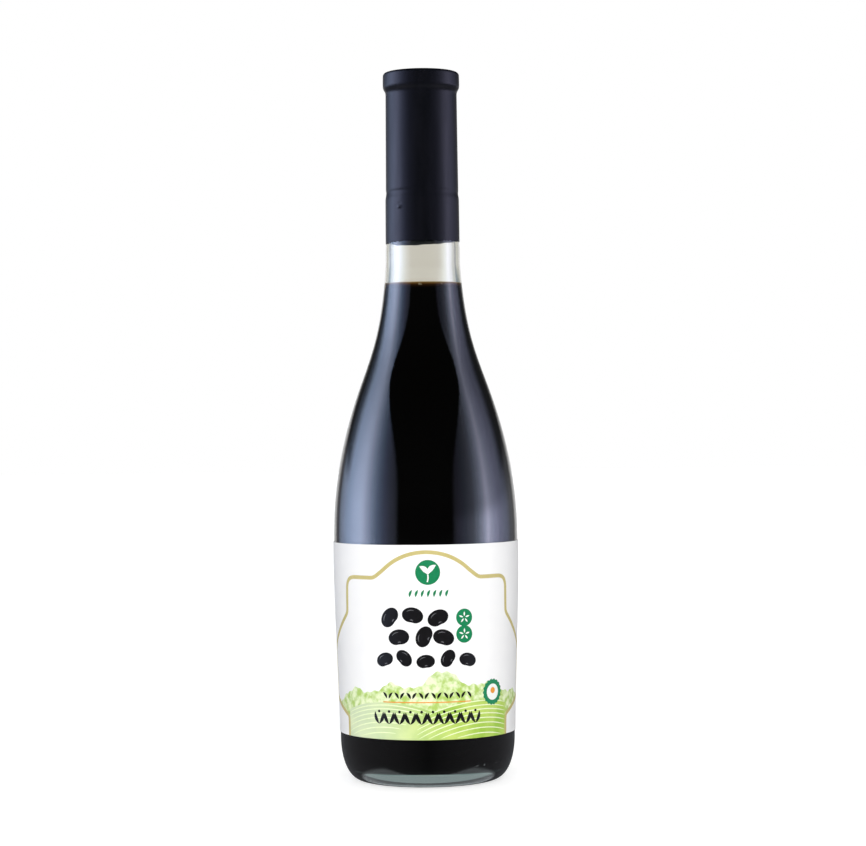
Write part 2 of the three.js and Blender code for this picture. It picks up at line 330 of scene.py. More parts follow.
@dataclass(frozen=True)
class GlassBottle:
    """The clear glass: its outside, its inside, and the mesh that both make."""

    ring_inner: float = 21.6 * MM
    ring_outer: float = 25.4 * MM
    ring_rounding: float = 0.4 * MM
    punt_rise: float = 2.4 * MM
    heel_top: float = 17.4 * MM
    heel_radius: float = 33.9 * MM
    heel_squareness: float = 2.2
    widest_height: float = 89.3 * MM
    widest_radius: float = 35.75 * MM
    shoulder_height: float = 152.7 * MM
    shoulder_radius: float = 24.85 * MM
    shoulder_slope: float = -0.365
    neck_height: float = 200.3 * MM
    neck_radius: float = 14.45 * MM
    neck_slope: float = -0.07
    neck_top: float = 206.45 * MM
    neck_top_radius: float = 14.4 * MM
    body_flare: float = 0.25 * MM
    body_foot_pull: float = 24.7 * MM
    body_top_pull: float = 24.9 * MM
    shoulder_top_pull: float = 10.6 * MM
    shoulder_middle_pull: float = 31.6 * MM
    neck_foot_pull: float = 13.4 * MM
    neck_top_pull: float = 25.3 * MM
    body_wall: float = 2.8 * MM
    neck_wall: float = 2.0 * MM
    wall_thins_from: float = 100 * MM
    wall_thins_to: float = 185 * MM
    base_thickness: float = 6.2 * MM
    floor_radius: float = 23.0 * MM
    floor_rise: float = 0.8 * MM
    inner_heel_top: float = 18.0 * MM
    inner_heel_squareness: float = 2.0
    bore_radius: float = 11.3 * MM
    bore_foot: float = 222 * MM
    lip_rounding: float = 0.9 * MM
    ripple_depth: float = 0.05 * MM
    ripple_from: float = 12 * MM
    ripple_to: float = 30 * MM
    dots: MouldDots = field(default_factory=MouldDots)

    def angles(self) -> Array:
        """The columns' angles, close together across the mould's dots and wide apart elsewhere."""
        margin = math.radians(self.dots.margin_degrees)
        fine_from = self.dots.angles()[0] - margin
        fine_to = self.dots.angles()[-1] + margin
        fine = np.linspace(fine_from, fine_to, 181)
        coarse = np.linspace(fine_to, fine_from + 2 * math.pi, 145)[1:-1]
        return np.concatenate([fine, coarse])

    def visible_side(self) -> Array:
        """The outside from the top of the heel to the capsule: three Bezier curves and a short run.

        Returns:
            Radius and height, one a row, from the foot up.
        """
        heel = np.array([self.heel_radius, self.heel_top])
        widest = np.array([self.widest_radius, self.widest_height])
        shoulder = np.array([self.shoulder_radius, self.shoulder_height])
        neck = np.array([self.neck_radius, self.neck_height])
        upright = np.array([0.0, 1.0])
        along_shoulder = np.array([self.shoulder_slope, 1.0])
        along_neck = np.array([self.neck_slope, 1.0])
        above_heel = heel + (self.body_flare, self.body_foot_pull)
        below_widest = widest - self.body_top_pull * upright
        above_widest = widest + self.shoulder_top_pull * upright
        below_shoulder = shoulder - self.shoulder_middle_pull * along_shoulder
        above_shoulder = shoulder + self.neck_foot_pull * along_shoulder
        below_neck = neck - self.neck_top_pull * along_neck
        body_curve = bezier([heel, above_heel, below_widest, widest], rows=16)
        shoulder_curve = bezier([widest, above_widest, below_shoulder, shoulder], rows=36)
        neck_curve = bezier([shoulder, above_shoulder, below_neck, neck], rows=28)
        top = np.array([[self.neck_top_radius, self.neck_top]])
        return np.vstack([body_curve, shoulder_curve[1:], neck_curve[1:], top])

    def radius_at(self, height: Array) -> Array:
        """The radius of the outside at heights between the heel and the capsule."""
        side = self.visible_side()
        return np.interp(height, side[:, 1], side[:, 0])

    def wall_at(self, height: Array) -> Array:
        """The thickness of the glass, which thins smoothly from the body to the neck."""
        share = smoothstep(self.wall_thins_from, self.wall_thins_to, height)
        return self.body_wall + (self.neck_wall - self.body_wall) * share

    def inner_side(self) -> Array:
        """The inside from the top of its heel to the foot of the capsule, from the foot up."""
        side = self.visible_side()
        kept = side[side[:, 1] > self.inner_heel_top + 1.0 * MM]
        return np.column_stack([kept[:, 0] - self.wall_at(kept[:, 1]), kept[:, 1]])

    def inner_foot(self) -> Array:
        """The inside from near the middle of the domed floor out and up to the top of its heel."""
        radius = np.linspace(0.04, 1.0, 12)[:, None] * self.floor_radius
        rise = self.floor_rise * (1.0 - (radius / self.floor_radius) ** 2)
        heel = quarter(
            (self.floor_radius, self.base_thickness),
            (self.heel_radius - self.body_wall, self.inner_heel_top),
            self.inner_heel_squareness,
            rows=18,
        )
        return np.vstack([np.hstack([radius, self.base_thickness + rise])[:-1], heel])

    def ripple(self, angle: Array, height: Array) -> Array:
        """The faint waves of the blown inside: two sums of sines, fading out towards the floor."""
        waves = np.sin(2 * angle + height / (9 * MM)) + 0.5 * np.sin(5 * angle - height / (5 * MM))
        return self.ripple_depth * waves * smoothstep(self.ripple_from, self.ripple_to, height)

    def surface(self, covered: Array, lip_top: float) -> Surface:
        """The whole glass as one closed surface, from under the punt round the lip to the floor.

        Args:
            covered: The outside under the capsule, radius and height, from the foot up.
            lip_top: The height of the lip.

        Returns:
            The closed surface.
        """
        radius = np.linspace(0.04, 1.0, 14)[:, None] * self.ring_inner
        punt = np.hstack([radius, self.punt_rise * (1.0 - (radius / self.ring_inner) ** 2)])
        ring_edges = (self.ring_inner + self.ring_rounding, self.ring_outer - self.ring_rounding)
        ring = np.array([[edge, 0.0] for edge in ring_edges])
        heel_end = (self.heel_radius, self.heel_top)
        heel = quarter((self.ring_outer, 0.0), heel_end, self.heel_squareness, rows=30)
        near_dots = self.dots.height + np.linspace(-1.0, 1.0, 15) * self.dots.margin
        across_dots = np.column_stack([np.interp(near_dots, heel[:, 1], heel[:, 0]), near_dots])
        heel = np.vstack([heel, across_dots])
        heel = heel[np.argsort(heel[:, 1], kind="stable")]
        turn = np.linspace(0.0, math.pi / 2, 7)
        middle = (covered[-1, 0] - self.lip_rounding, lip_top - self.lip_rounding)
        lip = middle + self.lip_rounding * np.column_stack([np.cos(turn), np.sin(turn)])
        mouth = np.array([
            (self.bore_radius + self.lip_rounding, lip_top),
            (self.bore_radius, lip_top - self.lip_rounding),
            (self.bore_radius, self.bore_foot),
        ])
        inner = np.vstack([self.inner_foot(), self.inner_side()])[::-1]
        outside = np.vstack([punt, ring, heel, self.visible_side()[1:], covered, lip])
        profile = np.vstack([outside, mouth, inner])
        is_outside = (np.arange(len(profile)) < len(outside))[:, None]
        angles = self.angles()
        radii, heights = profile[:, :1], profile[:, 1:]
        relief = np.where(is_outside, self.dots.relief(angles, heights, radii), 0.0)
        waves = np.where(is_outside, 0.0, self.ripple(angles, heights))
        return turned(radii + relief + waves, heights, angles)


@dataclass(frozen=True)
class Sauce:
    """The dark sauce, which fills the glass up to its level and curls up the wall that it wets."""

    meniscus_rise: float = 1.7 * MM
    meniscus_width: float = 0.9 * MM
    meniscus_reach: float = 3.4 * MM
    fine_over: float = 3 * MM
    follows_wall: Span = (0.6, 0.95)
    overlap: float = 0.2 * MM

    def surface(self, glass: GlassBottle, wet_top: float) -> Surface:
        """The sauce as a closed surface that reaches just into the wall, so no gap shows.

        Its level rises towards the wall by the meniscus's rise times e to the power of minus the
        distance from the wall over the meniscus's width.

        Args:
            glass: The bottle that it fills.
            wet_top: The height that it reaches where it wets the wall.

        Returns:
            The closed surface.
        """
        foot, side = glass.inner_foot(), glass.inner_side()
        level = wet_top - self.meniscus_rise
        top_radius = np.interp(wet_top, side[:, 1], side[:, 0])
        fine_from = level - self.fine_over
        fine = np.linspace(fine_from, wet_top, 12)[:, None]
        wetted = np.hstack([np.interp(fine, side[:, 1], side[:, 0]), fine])
        wall = np.vstack([foot, side[side[:, 1] < fine_from], wetted])
        along = np.gradient(wall, axis=0)
        outwards = np.column_stack([along[:, 1], -along[:, 0]])
        outwards /= np.linalg.norm(outwards, axis=1, keepdims=True)
        away = self.meniscus_reach * np.linspace(0.0, 1.0, 22)[1:, None] ** 2
        curl = level + self.meniscus_rise * np.exp(-away / self.meniscus_width)
        inner = np.linspace(1.0, 0.03, 8)[1:, None] * (top_radius - self.meniscus_reach)
        flat = np.hstack([inner, np.full_like(inner, level)])
        wetted_top = np.hstack([top_radius - away, curl])
        profile = np.vstack([wall + self.overlap * outwards, wetted_top, flat])
        angles = np.linspace(0.0, 2 * math.pi, 180, endpoint=False)
        radii, heights = profile[:, :1], profile[:, 1:]
        share_out = radii / np.interp(heights, side[:, 1], side[:, 0])
        at_wall = smoothstep(*self.follows_wall, share_out)
        return turned(radii + glass.ripple(angles, heights) * at_wall, heights, angles)


@dataclass(frozen=True)
class Froth:
    """The few small bubbles that cling to the glass at the sauce's edge.

    Each place gives degrees from the front, depth below the edge and radius, in millimetres.
    """

    places: tuple[Vector3, ...] = (
        (-5.6, 0.9, 0.5),
        (-2.9, 1.1, 0.32),
        (-80.0, 1.6, 0.6),
        (31.0, 0.7, 0.3),
        (148.0, 1.2, 0.45),
        (205.0, 0.8, 0.35),
    )
    sunk: float = 0.1 * MM

    def surface(self, glass: GlassBottle, wet_top: float) -> Surface:
        """The bubbles as balls that reach a little into the wall.

        Args:
            glass: The bottle that they cling to.
            wet_top: The height that the sauce reaches where it wets the wall.

        Returns:
            The closed surfaces as one.
        """
        side = glass.inner_side()
        slope = np.linspace(-math.pi / 2, math.pi / 2, 14)[1:-1, None]
        angles = np.linspace(0.0, 2 * math.pi, 20, endpoint=False)
        balls = []
        for degrees, depth, size in self.places:
            height, radius = wet_top - depth * MM, size * MM
            out = np.interp(height, side[:, 1], side[:, 0]) + self.sunk
            turn = math.radians(degrees)
            middle = np.array([out * math.sin(turn), -out * math.cos(turn), height])
            ball = turned(radius * np.cos(slope), radius * np.sin(slope), angles)
            balls.append(Surface(ball.points + middle, ball.quads, ball.triangles))
        return joined(balls)


@dataclass(frozen=True)
class Label:
    """The paper label, one strip wound round the body, with its ends lapped behind the left side.

    Places on it are in metres along the face: u from the middle of the front towards +X, and the
    height z. It has the angle u / r, so that lengths stay true when the strip is unrolled.
    """

    bottom: float
    top: float
    glass: GlassBottle
    proud: float = 0.25 * MM
    thickness: float = 0.12 * MM
    lap_degrees: float = 10.0
    lap_start_degrees: float = -92.0
    lap_ramp_degrees: float = 2.5

    def lapped(self, angle: Array) -> Array:
        """How far the outer end stands off at an angle, because it lies on the inner end."""
        behind = np.mod(np.radians(self.lap_start_degrees) - angle, 2 * math.pi)
        ramp = np.radians(self.lap_ramp_degrees)
        on_the_lap = behind <= np.radians(self.lap_degrees)
        climbing = smoothstep(2 * math.pi - ramp, 2 * math.pi, behind)
        return self.thickness * np.where(on_the_lap, 1.0, climbing)

    def place(self, u: Array, z: Array, lift: float, turn: float = 0.0) -> Array:
        """Points over the face: angle turn + u / r, radius r + lift + the lap, height z.

        Args:
            u: The distance along the face from the middle of the side that it is on.
            z: The height.
            lift: How far the points stand off the face.
            turn: The angle of that side's middle, 0 for the front.

        Returns:
            The points, with their three coordinates last.
        """
        radius = self.glass.radius_at(z) + self.proud
        angle = turn + u / radius
        out = radius + lift + self.lapped(angle)
        return np.stack([out * np.sin(angle), -out * np.cos(angle), z], axis=-1)

    def surface(self) -> Surface:
        """The strip as a thin closed solid: a face, and a back one thickness further in."""
        start = math.radians(self.lap_start_degrees)
        lap = math.radians(self.lap_degrees)
        ramp = math.radians(self.lap_ramp_degrees)
        travelled = np.concatenate([
            np.linspace(0.0, 2 * math.pi - ramp, 300)[:-1],
            np.linspace(2 * math.pi - ramp, 2 * math.pi, 8)[:-1],
            np.linspace(2 * math.pi, 2 * math.pi + lap, 10),
        ])
        off = self.thickness * smoothstep(2 * math.pi - ramp, 2 * math.pi, travelled)
        angle = start - travelled
        height = np.linspace(self.bottom, self.top, 25)[:, None]
        out = self.glass.radius_at(height) + self.proud + off

        def ring(radius: Array) -> Array:
            """The grid at one radius."""
            depth = np.broadcast_to(height, radius.shape)
            return np.stack([radius * np.sin(angle), -radius * np.cos(angle), depth], axis=-1)

        return slab(ring(out), ring(out - self.thickness))


@dataclass(frozen=True)
class Capsule:
    """The shrink capsule: a thin film with a rim, a crease, a nick and a slightly crooked foot."""

    foot: float
    top: float
    foot_radius: float = 14.4 * MM
    skirt_radius: float = 14.32 * MM
    crease_height: float = 227.2 * MM
    crease_radius: float = 13.97 * MM
    crease_half_width: float = 1.6 * MM
    sleeve_foot_radius: float = 14.12 * MM
    sleeve_top: float = 266.8 * MM
    sleeve_top_radius: float = 13.85 * MM
    rim_foot: float = 269.3 * MM
    rim_chamfer: float = 0.6 * MM
    rim_radius: float = 14.9 * MM
    rim_shoulder: float = 271.4 * MM
    top_rounding: float = 1.3 * MM
    film: float = 0.15 * MM
    lid: float = 0.8 * MM
    foot_tilt: float = 0.3 * MM
    foot_ripple: float = 0.14 * MM
    foot_notches: float = 0.08 * MM
    foot_tatters: float = 0.05 * MM
    crooked_over: float = 6 * MM
    glass_gap: float = 0.02 * MM
    foot_band: float = 2 * MM
    rim_taper: float = 0.05 * MM
    shrink_waves: float = 0.02 * MM
    lid_dish: float = 0.25 * MM
    crease_line: float = 228.1 * MM
    crease_wander: float = 0.12 * MM
    crease_width: float = 0.42 * MM
    crease_depth: float = 0.045 * MM
    crease_more: float = 0.06 * MM
    crease_degrees: float = -60.0
    nick_degrees: float = -38.0
    nick_height: float = 222.9 * MM
    nick_length: float = 0.9 * MM
    nick_width: float = 0.4 * MM
    nick_depth: float = 0.1 * MM
    nick_lip: float = 0.3 * MM
    nick_lip_drop: float = 1.1 * MM
    nick_lip_width: float = 0.42 * MM

    def corners(self) -> Array:
        """The corners of the outside from the foot up to the rim, radius and height."""
        crease, half = self.crease_height, self.crease_half_width
        return np.array([
            (self.foot_radius, self.foot),
            (self.foot_radius, self.foot + self.foot_band),
            (self.skirt_radius, crease - half),
            (self.crease_radius, crease),
            (self.sleeve_foot_radius, crease + half),
            (self.sleeve_top_radius, self.sleeve_top),
            (self.rim_radius, self.rim_foot - self.rim_chamfer),
            (self.rim_radius, self.rim_foot),
            (self.rim_radius, self.rim_shoulder),
            (self.rim_radius - self.rim_taper, self.top - self.top_rounding),
        ])

    def covered_glass(self, below: float) -> Array:
        """The glass that the film is shrunk on to: its corners, one film and a gap further in.

        Args:
            below: How far under the foot the glass starts to step in.

        Returns:
            Radius and height, from the foot up.
        """
        path = softened(self.corners()[:-1], step=1.5 * MM, reach=0.9 * MM)
        path = path - np.array([self.film + self.glass_gap, 0.0])
        path[0, 1] -= below
        return path

    def surface(self) -> Surface:
        """The film as a closed shell, from the middle under its lid down, out, and up to its top.

        The foot's height tilts and ripples by sines whose size dies away upwards.
        """
        side = softened(self.corners(), step=0.45 * MM, reach=0.7 * MM)
        turn = np.linspace(0.0, math.pi / 2, 9)[1:, None]
        reach = np.hstack([np.cos(turn), np.sin(turn)]) * self.top_rounding
        edge = side[-1] + reach - np.array([self.top_rounding, 0.0])
        lid_radius = np.linspace(1.0, 0.03, 9)[1:, None] * edge[-1, 0]
        dish = self.lid_dish * smoothstep(0.0, 0.35, 1.0 - lid_radius / edge[-1, 0])
        outside = np.vstack([side, edge, np.hstack([lid_radius, self.top - dish])])
        inner_side = side - np.array([self.film, 0.0])
        under = self.top - self.lid
        inner_side = inner_side[inner_side[:, 1] < under]
        inner_lid = np.linspace(1.0, 0.03, 7)[:, None] * inner_side[-1, 0]
        inside = np.vstack([inner_side, np.hstack([inner_lid, np.full_like(inner_lid, under)])])
        profile = np.vstack([inside[::-1], outside])
        is_outside = (np.arange(len(profile)) >= len(inside))[:, None]
        angles = np.linspace(0.0, 2 * math.pi, 240, endpoint=False)
        radii, heights = profile[:, :1], profile[:, 1:]
        relief = np.where(is_outside, self.relief(angles, heights, radii), 0.0)
        fade = np.maximum(0.0, 1.0 - (heights - self.foot) / self.crooked_over)
        bearing = angles - math.pi / 2
        crooked = self.foot_tilt * np.cos(bearing) + self.foot_ripple * np.sin(2 * bearing)
        crooked += self.foot_notches * np.sin(9 * bearing + 1.0)
        crooked += self.foot_tatters * np.sin(17 * bearing)
        return turned(radii + relief, heights + crooked * fade, angles)

    def relief(self, angles: Array, heights: Array, radii: Array) -> Array:
        """How far the outside leaves its turned form, at each row and column.

        Args:
            angles: The angle of each column.
            heights: The height of each row, as a column.
            radii: The radius of each row, as a column.

        Returns:
            The relief: the crease, deepest at the left of the front, the nick with the small lip
            under it, and faint shrink waves.
        """
        wander = self.crease_wander * (np.sin(angles + 0.8) + 0.5 * np.sin(3 * angles + 2.0))
        off_side = angles - math.radians(self.crease_degrees)
        depth = self.crease_depth + self.crease_more * np.cos(off_side)
        crease = -depth * bell((heights - self.crease_line - wander) / self.crease_width)
        off_nick = angles - math.radians(self.nick_degrees)
        along = np.remainder(off_nick + math.pi, 2 * math.pi) - math.pi
        sideways = bell(along * radii / self.nick_length)
        above = heights - self.nick_height
        pressed = -self.nick_depth * bell(above / self.nick_width)
        lip = self.nick_lip * bell((above + self.nick_lip_drop) / self.nick_lip_width)
        on_side = smoothstep(self.foot, self.foot + 3 * MM, heights)
        on_side = on_side * (1.0 - smoothstep(self.sleeve_top - 4 * MM, self.sleeve_top, heights))
        waves = np.sin(7 * angles + heights / (11 * MM)) * np.sin(3 * angles + 1.0)
        waves = self.shrink_waves * waves
        return (crease + waves) * on_side + sideways * (pressed + lip)


class Ink(Enum):
    """The printed colours: each one's piece on the label, and how far it stands off the paper."""

    PALE = ("print_pale_hills", 0.015 * MM)
    LIME = ("print_lime_fields", 0.03 * MM)
    FURROW = ("print_white_furrows", 0.045 * MM)
    GOLD = ("print_gold_frames", 0.06 * MM)
    BLACK = ("print_black_beans", 0.06 * MM)
    GREEN = ("print_green_leaves", 0.06 * MM)
    WHITE = ("print_white_details", 0.075 * MM)
    GREY = ("print_grey_sheen", 0.075 * MM)
    ORANGE = ("print_orange_details", 0.09 * MM)

    @property
    def piece(self) -> str:
        """The name of the piece."""
        return self.value[0]

    @property
    def lift(self) -> float:
        """How far its face stands off the paper."""
        return self.value[1]


def stretch(first: float, last: float, step: float) -> Array:
    """Even places from first to last, no more than a step apart."""
    return np.linspace(first, last, max(2, int(math.ceil(abs(last - first) / step)) + 1))


def area(u: Array, lower: Array, upper: Array, rows: int) -> Array:
    """A field between two edges over the same places: z = lower + share * (upper - lower).

    Args:
        u: The places along the label.
        lower: The height of the lower edge at each place.
        upper: The height of the upper edge at each place.
        rows: How many steps it has between the edges.

    Returns:
        A grid of places, u and z last.
    """
    share = np.linspace(0.0, 1.0, rows + 1)[:, None]
    height = lower + share * (np.maximum(upper, lower + 0.02 * MM) - lower)
    return np.stack([np.broadcast_to(u, height.shape), height], axis=-1)


def disc(centre: Place, outline: Callable[[Array], Array], step: float) -> Array:
    """A round field: a square grid (a, b) rounded to (a sqrt(1 - b²/2), b sqrt(1 - a²/2)).

    Args:
        centre: Its middle, u and z.
        outline: The distance of its edge from the middle at each direction from +u.
        step: The largest distance between neighbouring places.

    Returns:
        A grid of places, u and z last.
    """
    reach = float(np.max(outline(np.linspace(0.0, 2 * math.pi, 60))))
    a, b = np.meshgrid(*[stretch(-1.0, 1.0, step / reach)] * 2)
    across, up = a * np.sqrt(1.0 - b**2 / 2), b * np.sqrt(1.0 - a**2 / 2)
    edge = outline(np.arctan2(up, across))
    return np.stack([centre[0] + edge * across, centre[1] + edge * up], axis=-1)


def circle(centre: Place, radius: float) -> Array:
    """A plain round field of one radius."""
    return disc(centre, lambda direction: np.full_like(direction, radius), step=0.6 * MM)


def ribbon(path: Array, width: Array | float) -> Array:
    """A band along a path: each point moved half the width to both sides, across the path.

    Args:
        path: Places u and z, one a row.
        width: The band's width, all over or at each place.

    Returns:
        A grid of places with three columns.
    """
    along = np.gradient(path, axis=0)
    across = np.column_stack([-along[:, 1], along[:, 0]])
    across /= np.linalg.norm(across, axis=1, keepdims=True)
    half = np.broadcast_to(width, len(path))[:, None] / 2
    return np.stack([path - across * half, path, path + across * half], axis=1)


def bow(start: Place, end: Place, bulge: float, step: float) -> Array:
    """A shallow arc from start to end: the straight way plus bulge * 4t(1 - t) to its left.

    Args:
        start: Where it starts.
        end: Where it ends.
        bulge: How far its middle lies to the left of the straight way.
        step: The largest distance between neighbouring points.

    Returns:
        The arc, one place a row.
    """
    first, way = np.array(start), np.array(end) - np.array(start)
    length = float(np.linalg.norm(way))
    t = stretch(0.0, 1.0, step / length)[:, None]
    left = np.array([-way[1], way[0]]) / length
    return first + t * way + 4 * t * (1 - t) * bulge * left


def leaf(start: Place, end: Place, bulge: float, width: float) -> Array:
    """A leaf: a band along a bowed midrib, with the width of sin(pi t) to the power 0.8."""
    midrib = bow(start, end, bulge, step=0.35 * MM)
    t = np.linspace(0.0, 1.0, len(midrib))
    return ribbon(midrib, np.maximum(width * np.sin(math.pi * t) ** 0.8, 0.06 * MM))


@dataclass(frozen=True)
class Bean:
    """A black bean lying on the label, with a pale seam and a streak of light."""

    centre: Place
    length: float
    width: float
    tilt_degrees: float
    dent: float = 0.13
    dent_width: float = 0.5

    def outline(self, direction: Array) -> Array:
        """An ellipse, a b / sqrt((b cos)² + (a sin)²), dented by a bell on one long side."""
        turned_by = direction - math.radians(self.tilt_degrees)
        a, b = self.length / 2, self.width / 2
        oval = a * b / np.hypot(b * np.cos(turned_by), a * np.sin(turned_by))
        off = np.remainder(turned_by + math.pi / 2 + math.pi, 2 * math.pi) - math.pi
        return oval * (1.0 - self.dent * bell(off / self.dent_width))

    def spot(self, along: float, across: float) -> Place:
        """A place on the bean, by shares of its half length and half width from its middle."""
        tilt = math.radians(self.tilt_degrees)
        x, y = along * self.length / 2, across * self.width / 2
        return (
            self.centre[0] + x * math.cos(tilt) - y * math.sin(tilt),
            self.centre[1] + x * math.sin(tilt) + y * math.cos(tilt),
        )

    def field(self) -> Array:
        """The bean's own field."""
        return disc(self.centre, self.outline, step=0.6 * MM)

    def seam(self) -> Array:
        """The pale seam by its dent."""
        middle = bow(self.spot(-0.16, -0.62), self.spot(0.16, -0.62), 0.03 * self.width, 0.3 * MM)
        taper = np.sin(math.pi * np.linspace(0.06, 0.94, len(middle)))
        return ribbon(middle, 0.07 * self.width * taper)

    def streak(self) -> Array:
        """The streak of light along its rounded side."""
        middle = bow(self.spot(-0.62, 0.30), self.spot(0.05, 0.62), 0.05 * self.length, 0.3 * MM)
        taper = np.sin(math.pi * np.linspace(0.05, 0.95, len(middle)))
        return ribbon(middle, 0.05 * self.width * taper)


@dataclass(frozen=True)
class Cartouche:
    """The gold frame: an arch on two shoulders, flanks that swing out, and feet that come back."""

    line: float = 1.45 * MM
    apex: float = 89.8 * MM
    arch_radius: float = 24.2 * MM
    arch_half_degrees: float = 44.0
    foot_half_width: float = 36.0 * MM
    widest: float = 53.0 * MM

    def flank(self, bottom: float) -> Array:
        """The right side's corners from the label's lower edge up to the end of the arch."""
        return np.array([
            (self.foot_half_width, bottom),
            (self.foot_half_width + 0.2 * MM, 26.6 * MM),
            (44.0 * MM, 29.9 * MM),
            (self.widest, 33.5 * MM),
            (self.widest, 50.2 * MM),
            (45.7 * MM, 57.0 * MM),
            (36.0 * MM, 66.0 * MM),
            (35.8 * MM, 77.0 * MM),
            (34.6 * MM, 79.2 * MM),
            (32.0 * MM, 80.0 * MM),
            (21.0 * MM, 80.0 * MM),
        ])

    def path(self, bottom: float) -> Array:
        """The whole line from the lower right, over the arch, to the lower left.

        Args:
            bottom: The height of the label's lower edge.

        Returns:
            Places u and z, one a row, with the corners rounded.
        """
        half = math.radians(self.arch_half_degrees)
        turn = np.linspace(half, -half, 40)
        across = self.arch_radius * np.sin(turn)
        up = self.apex - self.arch_radius * (1.0 - np.cos(turn))
        flank = self.flank(bottom)
        mirrored = flank[::-1] * np.array([-1.0, 1.0])
        corners = np.vstack([flank, np.column_stack([across, up]), mirrored])
        return softened(corners, step=0.5 * MM, reach=1.8 * MM)

    def floor_at(self, u: Array, bottom: float) -> Array:
        """The lowest height inside the frame at each place along the label."""
        flank = self.flank(bottom)
        width = [0.0, self.foot_half_width - 0.4 * MM, self.foot_half_width - 0.3 * MM]
        height = [bottom, bottom, flank[1, 1] + 0.3 * MM]
        return np.interp(np.abs(u), [*width, *flank[2:4, 0]], [*height, *flank[2:4, 1]])


@dataclass(frozen=True)
class Mound:
    """One rounded field of furrows: circles about a middle far below the label's lower edge."""

    middle: Place
    crest: float
    furrows: tuple[float, ...]

    def edge(self, u: Array, radius: float) -> Array:
        """The height of a circle about the middle at each place along the label."""
        inside = np.maximum(radius**2 - (u - self.middle[0]) ** 2, 0.0)
        return self.middle[1] + np.sqrt(inside)


@dataclass(frozen=True)
class Landscape:
    """The low fields inside the frame: two furrowed mounds in front of pale, wooded hills."""

    left: Mound = Mound((-16 * MM, -16 * MM), 49 * MM, (37.6, 39.6, 41.5, 43.3, 45.0, 46.6, 48.0))
    right: Mound = Mound((22 * MM, -22 * MM), 55 * MM, (42.8, 44.8, 46.7, 48.5, 50.2, 51.8, 53.3))
    hills: tuple[tuple[float, float, float], ...] = (
        (-31.0, 6.5, 9.0),
        (-14.0, 8.5, 8.0),
        (6.0, 14.0, 11.0),
        (25.0, 8.0, 8.0),
        (41.0, 4.5, 9.0),
    )
    hill_foot: float = 31.0 * MM

    def ridge(self, u: Array) -> Array:
        """The hills' skyline: a bell for each hill, and two sines for the tops of its trees."""
        place = u / MM
        bells = sum(height * bell((place - at) / width) for at, height, width in self.hills)
        trees = 0.45 * np.sin(place / 1.3) + 0.3 * np.sin(place / 0.57 + 1.0)
        return self.hill_foot + (bells + trees) * MM

    def crest(self, u: Array) -> Array:
        """The upper edge of the fields."""
        return np.maximum(self.left.edge(u, self.left.crest), self.right.edge(u, self.right.crest))

    def furrow_lines(self, bottom: float, half_width: float) -> list[Array]:
        """The furrows: circles on each mound, those on the left ending where the right one starts.

        Args:
            bottom: The height of the label's lower edge.
            half_width: Half the width between the frame's feet.

        Returns:
            One ribbon for each furrow.
        """
        u = stretch(-half_width, half_width, 0.7 * MM)
        front = self.right.edge(u, self.right.crest)
        lines = [(u, front)]
        lines += [(u, self.left.edge(u, radius * MM)) for radius in self.left.furrows]
        lines += [(u, self.right.edge(u, radius * MM)) for radius in self.right.furrows]
        ribbons = []
        for number, (places, heights) in enumerate(lines):
            on_left = 0 < number <= len(self.left.furrows)
            kept = heights > bottom + 0.35 * MM
            kept &= (heights > front + 0.3 * MM) if on_left else (places > -4.0 * MM)
            if number == 0:
                kept &= heights > self.left.edge(places, self.left.crest) - 3.0 * MM
            if kept.sum() < 4:
                continue
            path = np.column_stack([places[kept], heights[kept]])
            ends = np.minimum(np.arange(len(path)) + 1, np.arange(len(path))[::-1] + 1) / 8
            ribbons.append(ribbon(path, 0.4 * MM * np.minimum(ends, 1.0) ** 0.6))
        return ribbons


